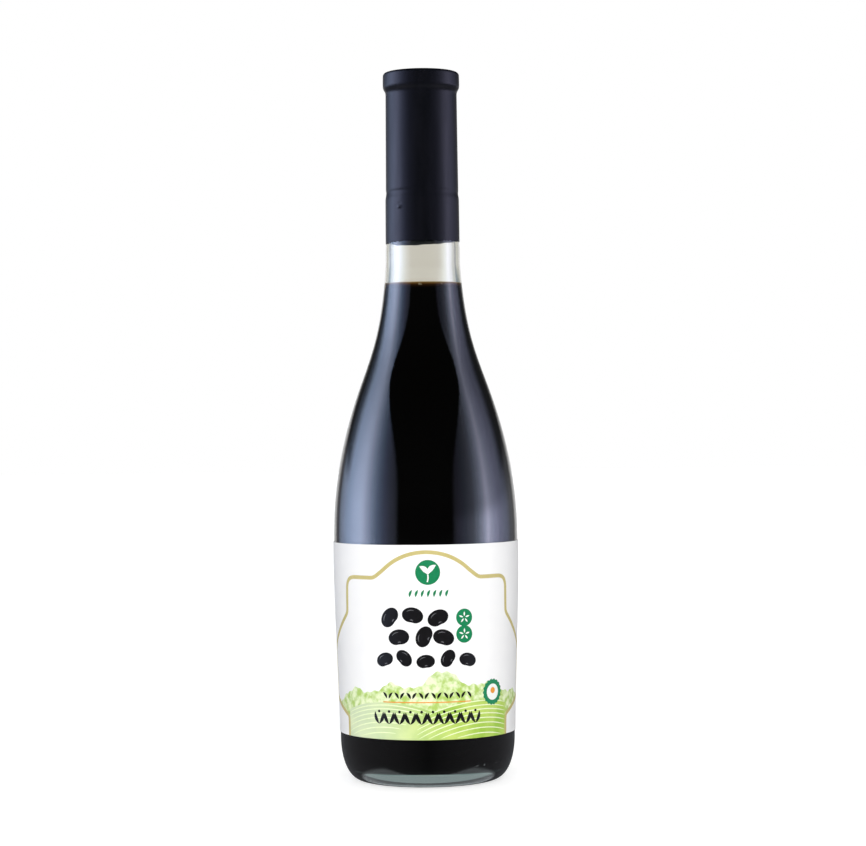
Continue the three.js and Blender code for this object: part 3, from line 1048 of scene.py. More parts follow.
class LabelPrint:
    """The print on the label, gathered by ink: fields of colour and plain shapes, no lettering."""

    def __init__(self, label: Label) -> None:
        """Starts with nothing printed.

        Args:
            label: The label that carries the print.
        """
        self.label = label
        self.turn = 0.0
        self.shapes: dict[Ink, list[Surface]] = {ink: [] for ink in Ink}

    def lay(self, ink: Ink, grid: Array) -> None:
        """Prints one field, as a closed film that starts just inside the paper.

        Args:
            ink: Its ink.
            grid: Its places on the label, u and z last.
        """
        u, z = grid[..., 0], np.clip(grid[..., 1], self.label.bottom, self.label.top)
        face = self.label.place(u, z, ink.lift, self.turn)
        back = self.label.place(u, z, -0.03 * MM, self.turn)
        self.shapes[ink].append(slab(face, back))

    def frame_and_fields(self, cartouche: Cartouche, landscape: Landscape) -> None:
        """Prints the gold frame and the fields inside it on the side that is being printed."""
        bottom = self.label.bottom
        self.lay(Ink.GOLD, ribbon(cartouche.path(bottom), cartouche.line))
        foot = cartouche.foot_half_width
        inside = stretch(-foot + 0.4 * MM, foot - 0.4 * MM, 0.6 * MM)
        outside = stretch(foot - 0.3 * MM, cartouche.widest - 0.5 * MM, 0.6 * MM)
        wide = np.concatenate([-outside[::-1], inside, outside])
        self.lay(Ink.PALE, area(wide, cartouche.floor_at(wide, bottom), landscape.ridge(wide), 24))
        self.lay(Ink.LIME, area(inside, np.full_like(inside, bottom), landscape.crest(inside), 18))
        for line in landscape.furrow_lines(bottom, foot - 0.7 * MM):
            self.lay(Ink.FURROW, line)

    def sprout(self) -> None:
        """Prints the green disc with a white sprout under the arch, and the leaves below it."""
        self.lay(Ink.GREEN, circle((0.7 * MM, 82.2 * MM), 4.7 * MM))
        fork = (0.7 * MM, 81.4 * MM)
        stem = bow((0.5 * MM, 78.6 * MM), fork, -0.2 * MM, 0.4 * MM)
        self.lay(Ink.WHITE, ribbon(stem, 0.5 * MM))
        for tip, bulge in (((-2.4 * MM, 84.4 * MM), -0.6 * MM), ((3.8 * MM, 84.9 * MM), 0.6 * MM)):
            self.lay(Ink.WHITE, leaf(fork, tip, bulge, 1.9 * MM))
        for place in (-6.2, -3.9, -1.6, 0.7, 3.0, 5.3, 7.6):
            start, tip = (place * MM, 72.9 * MM), ((place + 0.9) * MM, 75.6 * MM)
            self.lay(Ink.GREEN, leaf(start, tip, 0.3 * MM, 0.95 * MM))

    def beans(self) -> None:
        """Prints the black beans: a heap of six large ones, and a row of five smaller ones."""
        heap = (
            (-14.2, 65.2, 52.0),
            (-5.2, 66.0, -12.0),
            (4.4, 65.0, 24.0),
            (-10.6, 57.7, 8.0),
            (-0.9, 58.0, 66.0),
            (6.5, 57.6, -16.0),
        )
        row = (
            (-16.4, 49.2, 20.0),
            (-8.6, 49.9, -48.0),
            (-0.4, 48.6, 6.0),
            (8.1, 49.7, 58.0),
            (16.0, 48.9, -14.0),
        )
        beans = [Bean((u * MM, z * MM), 8.2 * MM, 6.1 * MM, tilt) for u, z, tilt in heap]
        beans += [Bean((u * MM, z * MM), 7.0 * MM, 5.2 * MM, tilt) for u, z, tilt in row]
        for bean in beans:
            self.lay(Ink.BLACK, bean.field())
            self.lay(Ink.GREY, bean.seam())
            self.lay(Ink.GREY, bean.streak())

    def borders(self) -> None:
        """Prints two black bands of leaves: a low one of single leaves, and a tall one of pairs."""
        for number in range(15):
            u = (number - 7) * 2.35 * MM
            rise = 1.2 * MM if number % 2 else -1.2 * MM
            start, tip = (u - 0.8 * MM, 35.7 * MM - rise), (u + 0.8 * MM, 35.7 * MM + rise)
            self.lay(Ink.BLACK, leaf(start, tip, 0.25 * MM, 0.95 * MM))
        for number in range(10):
            foot = ((number - 4.5) * 4.25 * MM, 24.9 * MM)
            for side in (-1.0, 1.0):
                tip = (foot[0] + side * 1.75 * MM, 29.4 * MM)
                self.lay(Ink.BLACK, leaf(foot, tip, -side * 0.55 * MM, 1.35 * MM))
            self.lay(Ink.BLACK, circle((foot[0], 29.6 * MM), 0.55 * MM))

    def discs(self) -> None:
        """Prints the two green discs by the large beans, each with a little white flower on it."""
        for height in (64.95, 58.65):
            middle = np.array([14.7 * MM, height * MM])
            self.lay(Ink.GREEN, circle(tuple(middle), 3.3 * MM))
            for turn in np.radians((18, 90, 162, 234, 306)):
                way = np.array([math.cos(turn), math.sin(turn)])
                start, tip = middle + 0.5 * MM * way, middle + 2.2 * MM * way
                self.lay(Ink.WHITE, leaf(tuple(start), tuple(tip), 0.0, 0.62 * MM))

    def rosette(self) -> None:
        """Prints the scalloped rosette at the lower right, and the rule under the small beans."""
        middle = (27.7 * MM, 35.9 * MM)
        self.lay(Ink.GREEN, disc(middle, lambda d: (4.85 + 0.2 * np.cos(18 * d)) * MM, 0.4 * MM))
        self.lay(Ink.WHITE, circle(middle, 3.1 * MM))
        self.lay(Ink.ORANGE, circle((middle[0], middle[1] + 0.6 * MM), 1.2 * MM))
        for side in (-1.0, 1.0):
            tip = (middle[0] + side * 2.3 * MM, middle[1] - 0.1 * MM)
            self.lay(Ink.GREEN, leaf((middle[0], middle[1] - 2.2 * MM), tip, -side * 0.5 * MM, 0.8 * MM))
        rule = bow((-17.2 * MM, 33.2 * MM), (17.2 * MM, 33.2 * MM), 0.0, 0.7 * MM)
        self.lay(Ink.ORANGE, ribbon(rule, 0.38 * MM))

    def ruled_panel(self) -> None:
        """Prints an empty ruled panel: eight level lines between two upright ones."""
        half, low, high, lines = 23.0 * MM, 41.0 * MM, 70.0 * MM, 8
        for height in np.linspace(low, high, lines):
            rule = bow((-half, height), (half, height), 0.0, 0.7 * MM)
            self.lay(Ink.GREEN, ribbon(rule, 0.3 * MM))
        for side in (-half, half):
            rule = bow((side, low), (side, high), 0.0, 0.7 * MM)
            self.lay(Ink.GREEN, ribbon(rule, 0.3 * MM))

    def print_all(self) -> None:
        """Prints the front, and then the frame, the fields and the ruled panel on the back."""
        cartouche, landscape = Cartouche(), Landscape()
        self.frame_and_fields(cartouche, landscape)
        self.sprout()
        self.beans()
        self.borders()
        self.discs()
        self.rosette()
        self.turn = math.pi
        self.frame_and_fields(cartouche, landscape)
        self.ruled_panel()

    def add_pieces(self, finishes: dict[Ink, Material]) -> None:
        """Makes each ink's fields one piece in its finish."""
        for ink, shapes in self.shapes.items():
            add_piece(ink.piece, joined(shapes), finishes[ink])


def srgb(red: int, green: int, blue: int) -> Colour:
    """A linear colour from one given as it shows on a screen, each channel from 0 to 255."""
    shown = np.array([red, green, blue]) / 255.0
    linear = np.where(shown <= 0.04045, shown / 12.92, ((shown + 0.055) / 1.055) ** 2.4)
    return tuple(float(channel) for channel in linear)


class Graph:
    """A node tree being wired."""

    def __init__(self, tree: bpy.types.NodeTree) -> None:
        """Starts on a tree.

        Args:
            tree: The tree that the nodes go into.
        """
        self.tree = tree

    def feed(self, socket: Socket, value: object) -> None:
        """Links an output to a socket, or sets the socket to a number or a colour.

        Args:
            socket: The input.
            value: What feeds it.
        """
        if isinstance(value, Socket):
            self.tree.links.new(value, socket)
        elif socket.type == "RGBA":
            socket.default_value = (*value, 1.0)
        else:
            socket.default_value = value

    def fill(self, node: Node, inputs: dict[str | int, object]) -> Node:
        """Feeds a node's inputs, by name or number, and returns the node."""
        for name, value in inputs.items():
            self.feed(node.inputs[name], value)
        return node

    def add(self, kind: str, inputs: dict[str | int, object] | None = None, **settings: object) -> Node:
        """Adds a node.

        Args:
            kind: Its type.
            inputs: What feeds its inputs, by name or number.
            settings: Its own settings.

        Returns:
            The node.
        """
        node = self.tree.nodes.new(kind)
        for name, value in settings.items():
            setattr(node, name, value)
        return self.fill(node, inputs or {})

    def math(self, operation: str, *values: object) -> Socket:
        """Adds a sum of one kind on numbers or outputs, and returns its result."""
        return self.add("ShaderNodeMath", dict(enumerate(values)), operation=operation).outputs[0]

    def mix(self, share: object, low: object, high: object) -> Socket:
        """Adds a mix from one colour, at share 0, to another, at share 1, and returns it."""
        node = self.add("ShaderNodeMix", {0: share, 6: low, 7: high}, data_type="RGBA")
        return node.outputs[2]

    def spread(
        self,
        value: object,
        low: float,
        high: float,
        to_low: float,
        to_high: float,
        bend: str = "SMOOTHSTEP",
    ) -> Socket:
        """Adds a mapping of a value from one range to another.

        Args:
            value: What is mapped.
            low: The value at the first end.
            high: The value at the other end.
            to_low: The result at the first end.
            to_high: The result at the other end.
            bend: How the result runs between them.

        Returns:
            The result.
        """
        inputs = {0: value, 1: low, 2: high, 3: to_low, 4: to_high}
        return self.add("ShaderNodeMapRange", inputs, interpolation_type=bend).outputs[0]

    def ramp(self, share: object, stops: Sequence[tuple[float, Colour]]) -> Socket:
        """Adds a ramp of colours with stops from 0 to 1, and returns its colour."""
        node = self.add("ShaderNodeValToRGB", {0: share})
        elements = node.color_ramp.elements
        for element, (place, colour) in zip(elements, (stops[0], stops[-1])):
            element.position, element.color = place, (*colour, 1.0)
        for place, colour in stops[1:-1]:
            elements.new(place).color = (*colour, 1.0)
        return node.outputs[0]

    def show(self, share: object, first: Node, second: Node) -> None:
        """Shows a mix from one shader, at share 0, to another, at share 1, on the surface."""
        inputs = {0: share, 1: first.outputs[0], 2: second.outputs[0]}
        mixed = self.add("ShaderNodeMixShader", inputs)
        self.feed(self.tree.nodes["Material Output"].inputs[0], mixed.outputs[0])


def node_group(name: str, inputs: dict[str, str], outputs: dict[str, str]) -> tuple[Graph, Node, Node]:
    """Starts a shared node group.

    Args:
        name: The group's name.
        inputs: The socket type of each named input.
        outputs: The socket type of each named output.

    Returns:
        Its graph, its input node and its output node.
    """
    tree = bpy.data.node_groups.new(name, "ShaderNodeTree")
    for direction, sockets in (("INPUT", inputs), ("OUTPUT", outputs)):
        for label, kind in sockets.items():
            tree.interface.new_socket(name=label, in_out=direction, socket_type=kind)
    graph = Graph(tree)
    return graph, graph.add("NodeGroupInput"), graph.add("NodeGroupOutput")


def variation_group() -> bpy.types.NodeTree:
    """The shared group for uneven colour: noise, stretched and sharpened, between two colours.

    Its mask is 0 where the noise is low and 1 where it is high.
    """
    kinds = {
        "Scale": "NodeSocketFloat",
        "Stretch": "NodeSocketVector",
        "Softness": "NodeSocketFloat",
        "Low": "NodeSocketColor",
        "High": "NodeSocketColor",
    }
    outputs = {"Colour": "NodeSocketColor", "Mask": "NodeSocketFloat"}
    graph, source, result = node_group("uneven_colour", kinds, outputs)
    place = graph.add("ShaderNodeTexCoord").outputs["Object"]
    scaled = graph.add("ShaderNodeMapping", {"Vector": place, "Scale": source.outputs["Stretch"]})
    inputs = {0: scaled.outputs[0], "Scale": source.outputs["Scale"], "Detail": 4.0}
    noise = graph.add("ShaderNodeTexNoise", inputs)
    from_low = graph.math("SUBTRACT", 0.5, source.outputs["Softness"])
    from_high = graph.math("ADD", 0.5, source.outputs["Softness"])
    mask = graph.add("ShaderNodeMapRange", {0: noise.outputs[0], 1: from_low, 2: from_high}).outputs[0]
    graph.feed(result.inputs["Colour"], graph.mix(mask, source.outputs["Low"], source.outputs["High"]))
    graph.feed(result.inputs["Mask"], mask)
    return graph.tree


def relief_group() -> bpy.types.NodeTree:
    """The shared group for fine relief: a fine grain plus a share of broad, stretched waves."""
    kinds = {
        "Grain": "NodeSocketFloat",
        "Waves": "NodeSocketFloat",
        "Wave share": "NodeSocketFloat",
        "Stretch": "NodeSocketVector",
    }
    graph, source, result = node_group("fine_relief", kinds, {"Height": "NodeSocketFloat"})
    place = graph.add("ShaderNodeTexCoord").outputs["Object"]
    grain = graph.add("ShaderNodeTexNoise", {0: place, "Scale": source.outputs["Grain"], "Detail": 3.0})
    scaled = graph.add("ShaderNodeMapping", {"Vector": place, "Scale": source.outputs["Stretch"]})
    inputs = {0: scaled.outputs[0], "Scale": source.outputs["Waves"], "Detail": 1.0}
    waves = graph.add("ShaderNodeTexNoise", inputs)
    share = source.outputs["Wave share"]
    fine = graph.math("MULTIPLY", grain.outputs[0], graph.math("SUBTRACT", 1.0, share))
    broad = graph.math("MULTIPLY", waves.outputs[0], share)
    graph.feed(result.inputs["Height"], graph.math("ADD", fine, broad))
    return graph.tree


@dataclass(frozen=True)
class Effects:
    """The shared node groups."""

    variation: bpy.types.NodeTree
    relief: bpy.types.NodeTree

    def uneven(
        self,
        graph: Graph,
        low: object,
        high: object,
        scale: float,
        softness: float,
        stretch: Vector3 = EVENLY,
    ) -> Node:
        """Places the group for uneven colour in a material.

        Args:
            graph: The material's graph.
            low: The colour where the noise is low.
            high: The colour where the noise is high.
            scale: How fine the noise is.
            softness: Half the range of noise over which the colours pass into each other.
            stretch: How much finer the noise is along each axis.

        Returns:
            The group's node, with its colour and its mask.
        """
        inputs = {"Scale": scale, "Stretch": stretch, "Softness": softness, "Low": low, "High": high}
        return graph.add("ShaderNodeGroup", inputs, node_tree=self.variation)

    def bumped(
        self,
        graph: Graph,
        grain: float,
        waves: float,
        wave_share: float,
        depth: float,
        stretch: Vector3 = EVENLY,
    ) -> Socket:
        """Places the group for fine relief in a material.

        Args:
            graph: The material's graph.
            grain: How fine the grain is.
            waves: How fine the broad waves are.
            wave_share: The waves' share of the relief.
            depth: The relief's depth.
            stretch: How much finer the waves are along each axis.

        Returns:
            The bumped normal.
        """
        inputs = {"Grain": grain, "Waves": waves, "Wave share": wave_share, "Stretch": stretch}
        height = graph.add("ShaderNodeGroup", inputs, node_tree=self.relief).outputs["Height"]
        inputs = {"Height": height, "Distance": depth, "Strength": 1.0}
        return graph.add("ShaderNodeBump", inputs).outputs[0]


def new_finish(name: str) -> tuple[Material, Graph, Node]:
    """Starts a material, and returns it with its graph and its Principled shader."""
    material = bpy.data.materials.new(name)
    material.use_nodes = True
    return material, Graph(material.node_tree), material.node_tree.nodes["Principled BSDF"]


@dataclass(frozen=True)
class GlassFinish:
    """Clear bottle glass with a faint grey-green tint and the slight waves of a blown surface."""

    tint: Colour = (0.972, 0.980, 0.962)
    refraction: float = 1.5
    shadow: Colour = (0.86, 0.88, 0.86)
    wave_depth: float = 0.008 * MM

    def make(self, effects: Effects) -> Material:
        """Makes the material, in which shadow rays go straight through."""
        material, graph, shader = new_finish("clear_glass")
        normal = effects.bumped(graph, 900.0, 55.0, 0.99, self.wave_depth, (1.0, 1.0, 0.35))
        graph.fill(shader, {
            "Base Color": self.tint,
            "Roughness": 0.0,
            "IOR": self.refraction,
            "Transmission Weight": 1.0,
            "Normal": normal,
        })
        clear = graph.add("ShaderNodeBsdfTransparent", {0: self.shadow})
        in_shadow = graph.add("ShaderNodeLightPath").outputs["Is Shadow Ray"]
        graph.show(in_shadow, shader, clear)
        return material


@dataclass(frozen=True)
class SauceFinish:
    """Nearly black sauce, brown and then amber in the thin rim that wets the glass.

    Its underside mirrors, because thick glass reflects flat rays wholly where it meets the sauce.
    """

    deep: Colour = (0.0007, 0.0005, 0.0004)
    brown: Colour = (0.022, 0.009, 0.003)
    amber: Colour = (0.16, 0.075, 0.018)
    pale: Colour = (0.55, 0.40, 0.20)
    fade: float = 2.2 * MM
    mirror: Colour = (0.70, 0.79, 0.78)
    mirror_top: float = 12.0 * MM
    mirror_fade: float = 5.0 * MM
    total_from: float = 0.64
    total_to: float = 0.74
    mirror_roughness: float = 0.03
    roughness: float = 0.06
    refraction: float = 1.38
    specular: float = 0.03
    clouding: float = 0.25

    def make(self, effects: Effects, wet_top: float) -> Material:
        """Makes the material.

        Args:
            effects: The shared node groups.
            wet_top: The height that the sauce reaches at the wall.

        Returns:
            The material.
        """
        material, graph, shader = new_finish("dark_soy_sauce")
        place = graph.add("ShaderNodeTexCoord").outputs["Object"]
        height = graph.add("ShaderNodeSeparateXYZ", {0: place}).outputs[2]
        share = graph.spread(height, wet_top - self.fade, wet_top, 0.0, 1.0, "LINEAR")
        rim = graph.ramp(share, [(0.0, self.deep), (0.45, self.brown), (0.8, self.amber), (1.0, self.pale)])
        cloud = effects.uneven(graph, rim, rim, 90.0, 0.3)
        darker = graph.mix(graph.math("MULTIPLY", cloud.outputs["Mask"], self.clouding), rim, self.deep)
        graph.fill(shader, {
            "Base Color": darker,
            "Roughness": self.roughness,
            "IOR": self.refraction,
            "Specular IOR Level": self.specular,
        })
        flatness = graph.add("ShaderNodeLayerWeight", {"Blend": 0.5}).outputs["Facing"]
        total = graph.spread(flatness, self.total_from, self.total_to, 0.0, 1.0)
        low = graph.spread(height, self.mirror_top - self.mirror_fade, self.mirror_top, 1.0, 0.0)
        mirror = graph.add("ShaderNodeBsdfGlossy", {"Color": self.mirror, "Roughness": self.mirror_roughness})
        share = graph.math("MULTIPLY", total, low)
        graph.show(share, shader, mirror)
        return material


@dataclass(frozen=True)
class FrothFinish:
    """Wet bubbles of sauce, pale where their skin is thin."""

    thick: Colour = (0.10, 0.055, 0.02)
    thin: Colour = (0.36, 0.29, 0.18)
    roughness: Span = (0.08, 0.16)

    def make(self, effects: Effects) -> Material:
        """Makes the material."""
        material, graph, shader = new_finish("sauce_froth")
        cloud = effects.uneven(graph, self.thick, self.thin, 900.0, 0.6)
        rough = graph.spread(cloud.outputs["Mask"], 0.0, 1.0, *self.roughness)
        graph.fill(shader, {"Base Color": cloud.outputs["Colour"], "Roughness": rough})
        return material


@dataclass(frozen=True)
class PaperFinish:
    """Coated white paper, nearly matt, with a very fine tooth."""

    white: Colour = (0.89, 0.885, 0.88)
    shade: Colour = (0.865, 0.862, 0.862)
    roughness: Span = (0.50, 0.58)

    def make(self, effects: Effects) -> Material:
        """Makes the material."""
        material, graph, shader = new_finish("white_paper")
        cloud = effects.uneven(graph, self.shade, self.white, 160.0, 0.25)
        normal = effects.bumped(graph, 5200.0, 240.0, 0.35, 0.004 * MM)
        rough = graph.spread(cloud.outputs["Mask"], 0.0, 1.0, *self.roughness)
        graph.fill(shader, {
            "Base Color": cloud.outputs["Colour"],
            "Roughness": rough,
            "Specular IOR Level": 0.25,
            "Normal": normal,
        })
        return material


@dataclass(frozen=True)
class InkFinish:
    """Printed ink: a colour and the paler one that shows where it lies thinly."""

    full: Colour
    thin: Colour
    mottle: float = 900.0
    softness: float = 0.3
    fade_from: float = 0.0
    fade_to: float = 0.0
    left_fade: float = 0.0
    faded: Colour = (0.87, 0.88, 0.84)
    fade_share: float = 0.8
    left_fade_over: Span = (-30 * MM, 14 * MM)
    roughness: Span = (0.52, 0.44)

    def make(self, name: str, effects: Effects) -> Material:
        """Makes the material.

        Args:
            name: The material's name.
            effects: The shared node groups.

        Returns:
            The material, which fades towards the paper's colour upwards or to the left.
        """
        material, graph, shader = new_finish(name)
        cloud = effects.uneven(graph, self.thin, self.full, self.mottle, self.softness)
        colour = cloud.outputs["Colour"]
        place = graph.add("ShaderNodeTexCoord").outputs["Object"]
        across, _, height = graph.add("ShaderNodeSeparateXYZ", {0: place}).outputs
        if self.fade_to > self.fade_from:
            share = graph.spread(height, self.fade_from, self.fade_to, 0.0, self.fade_share)
            colour = graph.mix(share, colour, self.faded)
        if self.left_fade > 0.0:
            share = graph.spread(across, *self.left_fade_over, self.left_fade, 0.0)
            colour = graph.mix(share, colour, self.faded)
        normal = effects.bumped(graph, 5200.0, 240.0, 0.35, 0.003 * MM)
        rough = graph.spread(cloud.outputs["Mask"], 0.0, 1.0, *self.roughness)
        graph.fill(shader, {
            "Base Color": colour,
            "Roughness": rough,
            "Specular IOR Level": 0.25,
            "Normal": normal,
        })
        return material


@dataclass(frozen=True)
class FilmFinish:
    """Satin blue-black shrink film, drawn into faint upright streaks, with a fine grain."""

    dark: Colour = (0.0014, 0.0019, 0.0030)
    light: Colour = (0.0030, 0.0034, 0.0055)
    sheen: float = 0.19
    sheen_tint: Colour = (1.0, 0.9, 1.0)
    roughness: Span = (0.36, 0.43)

    def make(self, effects: Effects) -> Material:
        """Makes the material."""
        material, graph, shader = new_finish("satin_film")
        streaks = effects.uneven(graph, self.dark, self.light, 420.0, 0.25, (1.0, 1.0, 0.12))
        normal = effects.bumped(graph, 3800.0, 130.0, 0.6, 0.012 * MM, (1.0, 1.0, 0.2))
        rough = graph.spread(streaks.outputs["Mask"], 0.0, 1.0, *self.roughness)
        graph.fill(shader, {
            "Base Color": streaks.outputs["Colour"],
            "Roughness": rough,
            "Specular IOR Level": self.sheen,
            "Specular Tint": self.sheen_tint,
            "Normal": normal,
        })
        return material


@dataclass(frozen=True)
class Studio:
    """The camera, the soft white room with a tall softbox on each side, and the pale floor.

    Directions are in degrees round the bottle from the camera's side, 0 in front and 180 behind.
    A span holds the two ends of a smooth change, in degrees or as the height of a direction.
    """

    camera_place: Vector3 = (3.3 * MM, -936 * MM, 138.2 * MM)
    camera_roll_degrees: float = -0.611
    focal_pixels: float = 2400.0
    image_width: float = 866.0
    sensor: float = 36.0
    peak: float = 12.0
    left_box: Stops = (
        (0, (0.2, 0.22, 0.3)),
        (36, (0.33, 0.37, 0.5)),
        (47, (0.64, 0.71, 1.1)),
        (55, (0.95, 1.15, 1.9)),
        (63, (1.6, 2.1, 3.3)),
        (72, (3.4, 4.2, 6.2)),
        (80, (5.4, 6.3, 8.9)),
        (88, (7.0, 8.2, 11.4)),
        (99, (5.4, 6.5, 9.3)),
        (112, (3.1, 4.0, 5.8)),
        (124, (1.7, 2.1, 3.0)),
        (134, (0.9, 1.1, 1.5)),
        (141, (0.3, 0.3, 0.35)),
        (148, (0.3, 0.3, 0.32)),
        (154, (1.0, 1.0, 1.0)),
        (180, (1.0, 1.0, 1.0)),
    )
    right_box: Stops = (
        (0, (0.2, 0.21, 0.28)),
        (37, (0.32, 0.34, 0.48)),
        (44, (0.45, 0.46, 0.72)),
        (52, (0.65, 0.74, 1.05)),
        (61, (1.2, 1.3, 1.75)),
        (69, (2.3, 2.6, 3.5)),
        (78, (4.6, 5.0, 6.8)),
        (85, (7.4, 7.6, 10.1)),
        (90, (5.2, 5.5, 7.5)),
        (97, (3.6, 3.8, 5.4)),
        (107, (2.0, 2.1, 3.1)),
        (120, (1.1, 1.2, 1.7)),
        (133, (0.5, 0.52, 0.6)),
        (148, (0.3, 0.3, 0.3)),
        (154, (1.0, 1.0, 1.0)),
        (180, (1.0, 1.0, 1.0)),
    )
    seen_through: Stops = (
        (0, (0.05, 0.05, 0.05)),
        (60, (0.05, 0.05, 0.05)),
        (110, (0.6, 0.6, 0.6)),
        (128, (0.28, 0.28, 0.28)),
        (137, (0.28, 0.28, 0.28)),
        (142, (0.60, 0.59, 0.52)),
        (160, (0.60, 0.59, 0.52)),
        (166, (0.86, 0.85, 0.86)),
        (172, (0.92, 0.91, 0.91)),
        (174.5, (0.86, 0.85, 0.80)),
        (177.2, (0.68, 0.64, 0.57)),
        (180, (0.67, 0.63, 0.56)),
    )
    dark_front: Colour = (0.02, 0.022, 0.025)
    near_edge: float = 36.0
    edge_softness: float = 3.5
    edge_lean: float = 400.0
    right_low: float = 0.62
    right_low_over: Span = (0.02, 0.1)
    high_dimming: float = 0.75
    high_dimming_degrees: Span = (112.0, 132.0)
    high_dimming_over: Span = (0.09, 0.16)
    height_fade: tuple[Span, ...] = (
        (0.0, 1.0),
        (0.12, 0.95),
        (0.3, 0.75),
        (0.5, 0.5),
        (0.72, 0.12),
        (0.8, 0.03),
        (0.93, 0.08),
    )
    floor_front: Colour = (0.06, 0.065, 0.07)
    floor_sides: Colour = (0.22, 0.22, 0.24)
    floor_bright: Colour = (1.15, 1.25, 1.3)
    floor_over: Span = (0.04, 0.09)
    steep_in_front: float = 0.80
    steep_behind: float = 0.56
    steep_degrees: Span = (30.0, 75.0)
    steep_softness: Span = (-0.04, 0.06)
    high_through: Colour = (0.24, 0.28, 0.28)
    high_through_over: Span = (0.085, 0.125)
    room: float = 0.46
    front_light: float = 0.95
    front_elevation: float = 16.0
    front_spread: float = 50.0
    back_light: float = 0.5
    back_elevation: float = 4.0
    back_spread: float = 60.0
    floor_albedo: float = 0.8
    floor_glow: float = 0.50
    # Painted shade of the floor as seen through the glass: darker in front, lighter to the sides.
    painted_shade_front: Colour = (0.24, 0.29, 0.29)
    painted_shade_sides: Colour = (0.55, 0.60, 0.60)
    floor_reach: float = 6.0

    def add_camera(self) -> None:
        """Adds the level camera, turned a little about its own line of sight."""
        camera = bpy.data.objects.new("camera", bpy.data.cameras.new("camera"))
        camera.data.sensor_width = self.sensor
        camera.data.lens = self.sensor * self.focal_pixels / self.image_width
        roll = Matrix.Rotation(math.radians(self.camera_roll_degrees), 4, "Z")
        upright = Matrix.Rotation(math.pi / 2, 4, "X")
        camera.matrix_world = Matrix.Translation(self.camera_place) @ upright @ roll
        bpy.context.scene.collection.objects.link(camera)
        bpy.context.scene.camera = camera

    def round_ramp(self, graph: Graph, turn: Socket, stops: Stops, peak: float = 1.0) -> Socket:
        """A ramp of brightness round the bottle, stored as shares of a peak."""
        shares = [(degrees / 180, tuple(c / peak for c in colour)) for degrees, colour in stops]
        return graph.ramp(graph.math("DIVIDE", turn, 180.0), shares)

    def mirrored_boxes(self, graph: Graph, turn: Socket, x: Socket, z: Socket) -> Socket:
        """What a mirror shows above the floor: two softboxes with soft edges, fading upwards.

        Args:
            graph: The room's graph.
            turn: The direction round the bottle.
            x: The direction's part along X.
            z: The direction's part along Z.

        Returns:
            The brightness.
        """
        left = self.round_ramp(graph, turn, self.left_box, self.peak)
        right = self.round_ramp(graph, turn, self.right_box, self.peak)
        right = graph.mix(graph.spread(z, *self.right_low_over, 1.0, self.right_low), BLACK, right)
        boxes = graph.mix(graph.math("GREATER_THAN", x, 0.0), left, right)
        behind = graph.spread(turn, *self.high_dimming_degrees, 0.0, self.high_dimming)
        high = graph.spread(z, *self.high_dimming_over, 0.0, 1.0)
        boxes = graph.mix(graph.math("MULTIPLY", behind, high), boxes, BLACK)
        steepness = graph.math("POWER", graph.math("ABSOLUTE", z), 4.0)
        edge = graph.math("ADD", graph.math("MULTIPLY", steepness, self.edge_lean), self.near_edge)
        past_edge = graph.math("SUBTRACT", turn, edge)
        in_box = graph.spread(past_edge, -self.edge_softness, self.edge_softness, 0.0, 1.0)
        boxes = graph.mix(in_box, tuple(c / self.peak for c in self.dark_front), boxes)
        fade = graph.ramp(z, [(height, (bright,) * 3) for height, bright in self.height_fade])
        inputs = {0: 1.0, 6: boxes, 7: fade}
        faded = graph.add("ShaderNodeMix", inputs, data_type="RGBA", blend_type="MULTIPLY").outputs[2]
        inputs = {0: faded, "Scale": self.peak}
        return graph.add("ShaderNodeVectorMath", inputs, operation="SCALE").outputs[0]

    def mirrored_floor(self, graph: Graph, turn: Socket, x: Socket, down: Socket) -> Socket:
        """What a mirror shows of the floor: dark near the horizon and bright steeply below.

        Args:
            graph: The room's graph.
            turn: The direction round the bottle.
            x: The direction's part along X.
            down: The direction's part downwards.

        Returns:
            The brightness.
        """
        dark = graph.mix(graph.math("ABSOLUTE", x), self.floor_front, self.floor_sides)
        steep = graph.spread(turn, *self.steep_degrees, self.steep_in_front, self.steep_behind)
        close = graph.spread(graph.math("SUBTRACT", down, steep), *self.steep_softness, 0.0, 1.0)
        return graph.mix(close, dark, self.floor_bright)

    def add_room(self) -> None:
        """Adds the room, which each kind of ray sees in its own way.

        The camera sees plain white, light on matt surfaces comes evenly from all round, what glass
        shows behind it is white with a soft beige middle, and reflections show the softboxes and
        the floor.
        """
        world = bpy.data.worlds.new("soft_room")
        world.use_nodes = True
        bpy.context.scene.world = world
        world.cycles.sampling_method = "NONE"
        graph = Graph(world.node_tree)
        way = graph.add("ShaderNodeTexCoord").outputs["Generated"]
        x, y, z = graph.add("ShaderNodeSeparateXYZ", {0: way}).outputs
        sideways, forwards = graph.math("ABSOLUTE", x), graph.math("MULTIPLY", y, -1.0)
        turn = graph.math("DEGREES", graph.math("ARCTAN2", sideways, forwards))
        down = graph.math("MULTIPLY", z, -1.0)
        boxes = self.mirrored_boxes(graph, turn, x, z)
        floor = self.mirrored_floor(graph, turn, x, down)
        mirrored = graph.mix(graph.spread(down, *self.floor_over, 0.0, 1.0), boxes, floor)
        through = self.round_ramp(graph, turn, self.seen_through)
        is_high = graph.spread(z, *self.high_through_over, 0.0, 1.0)
        through = graph.mix(is_high, through, self.high_through)
        path = graph.add("ShaderNodeLightPath")
        colour = graph.mix(path.outputs["Is Glossy Ray"], (self.room,) * 3, mirrored)
        colour = graph.mix(path.outputs["Is Transmission Ray"], colour, through)
        colour = graph.mix(path.outputs["Is Camera Ray"], colour, WHITE)
        graph.feed(world.node_tree.nodes["Background"].inputs["Color"], colour)

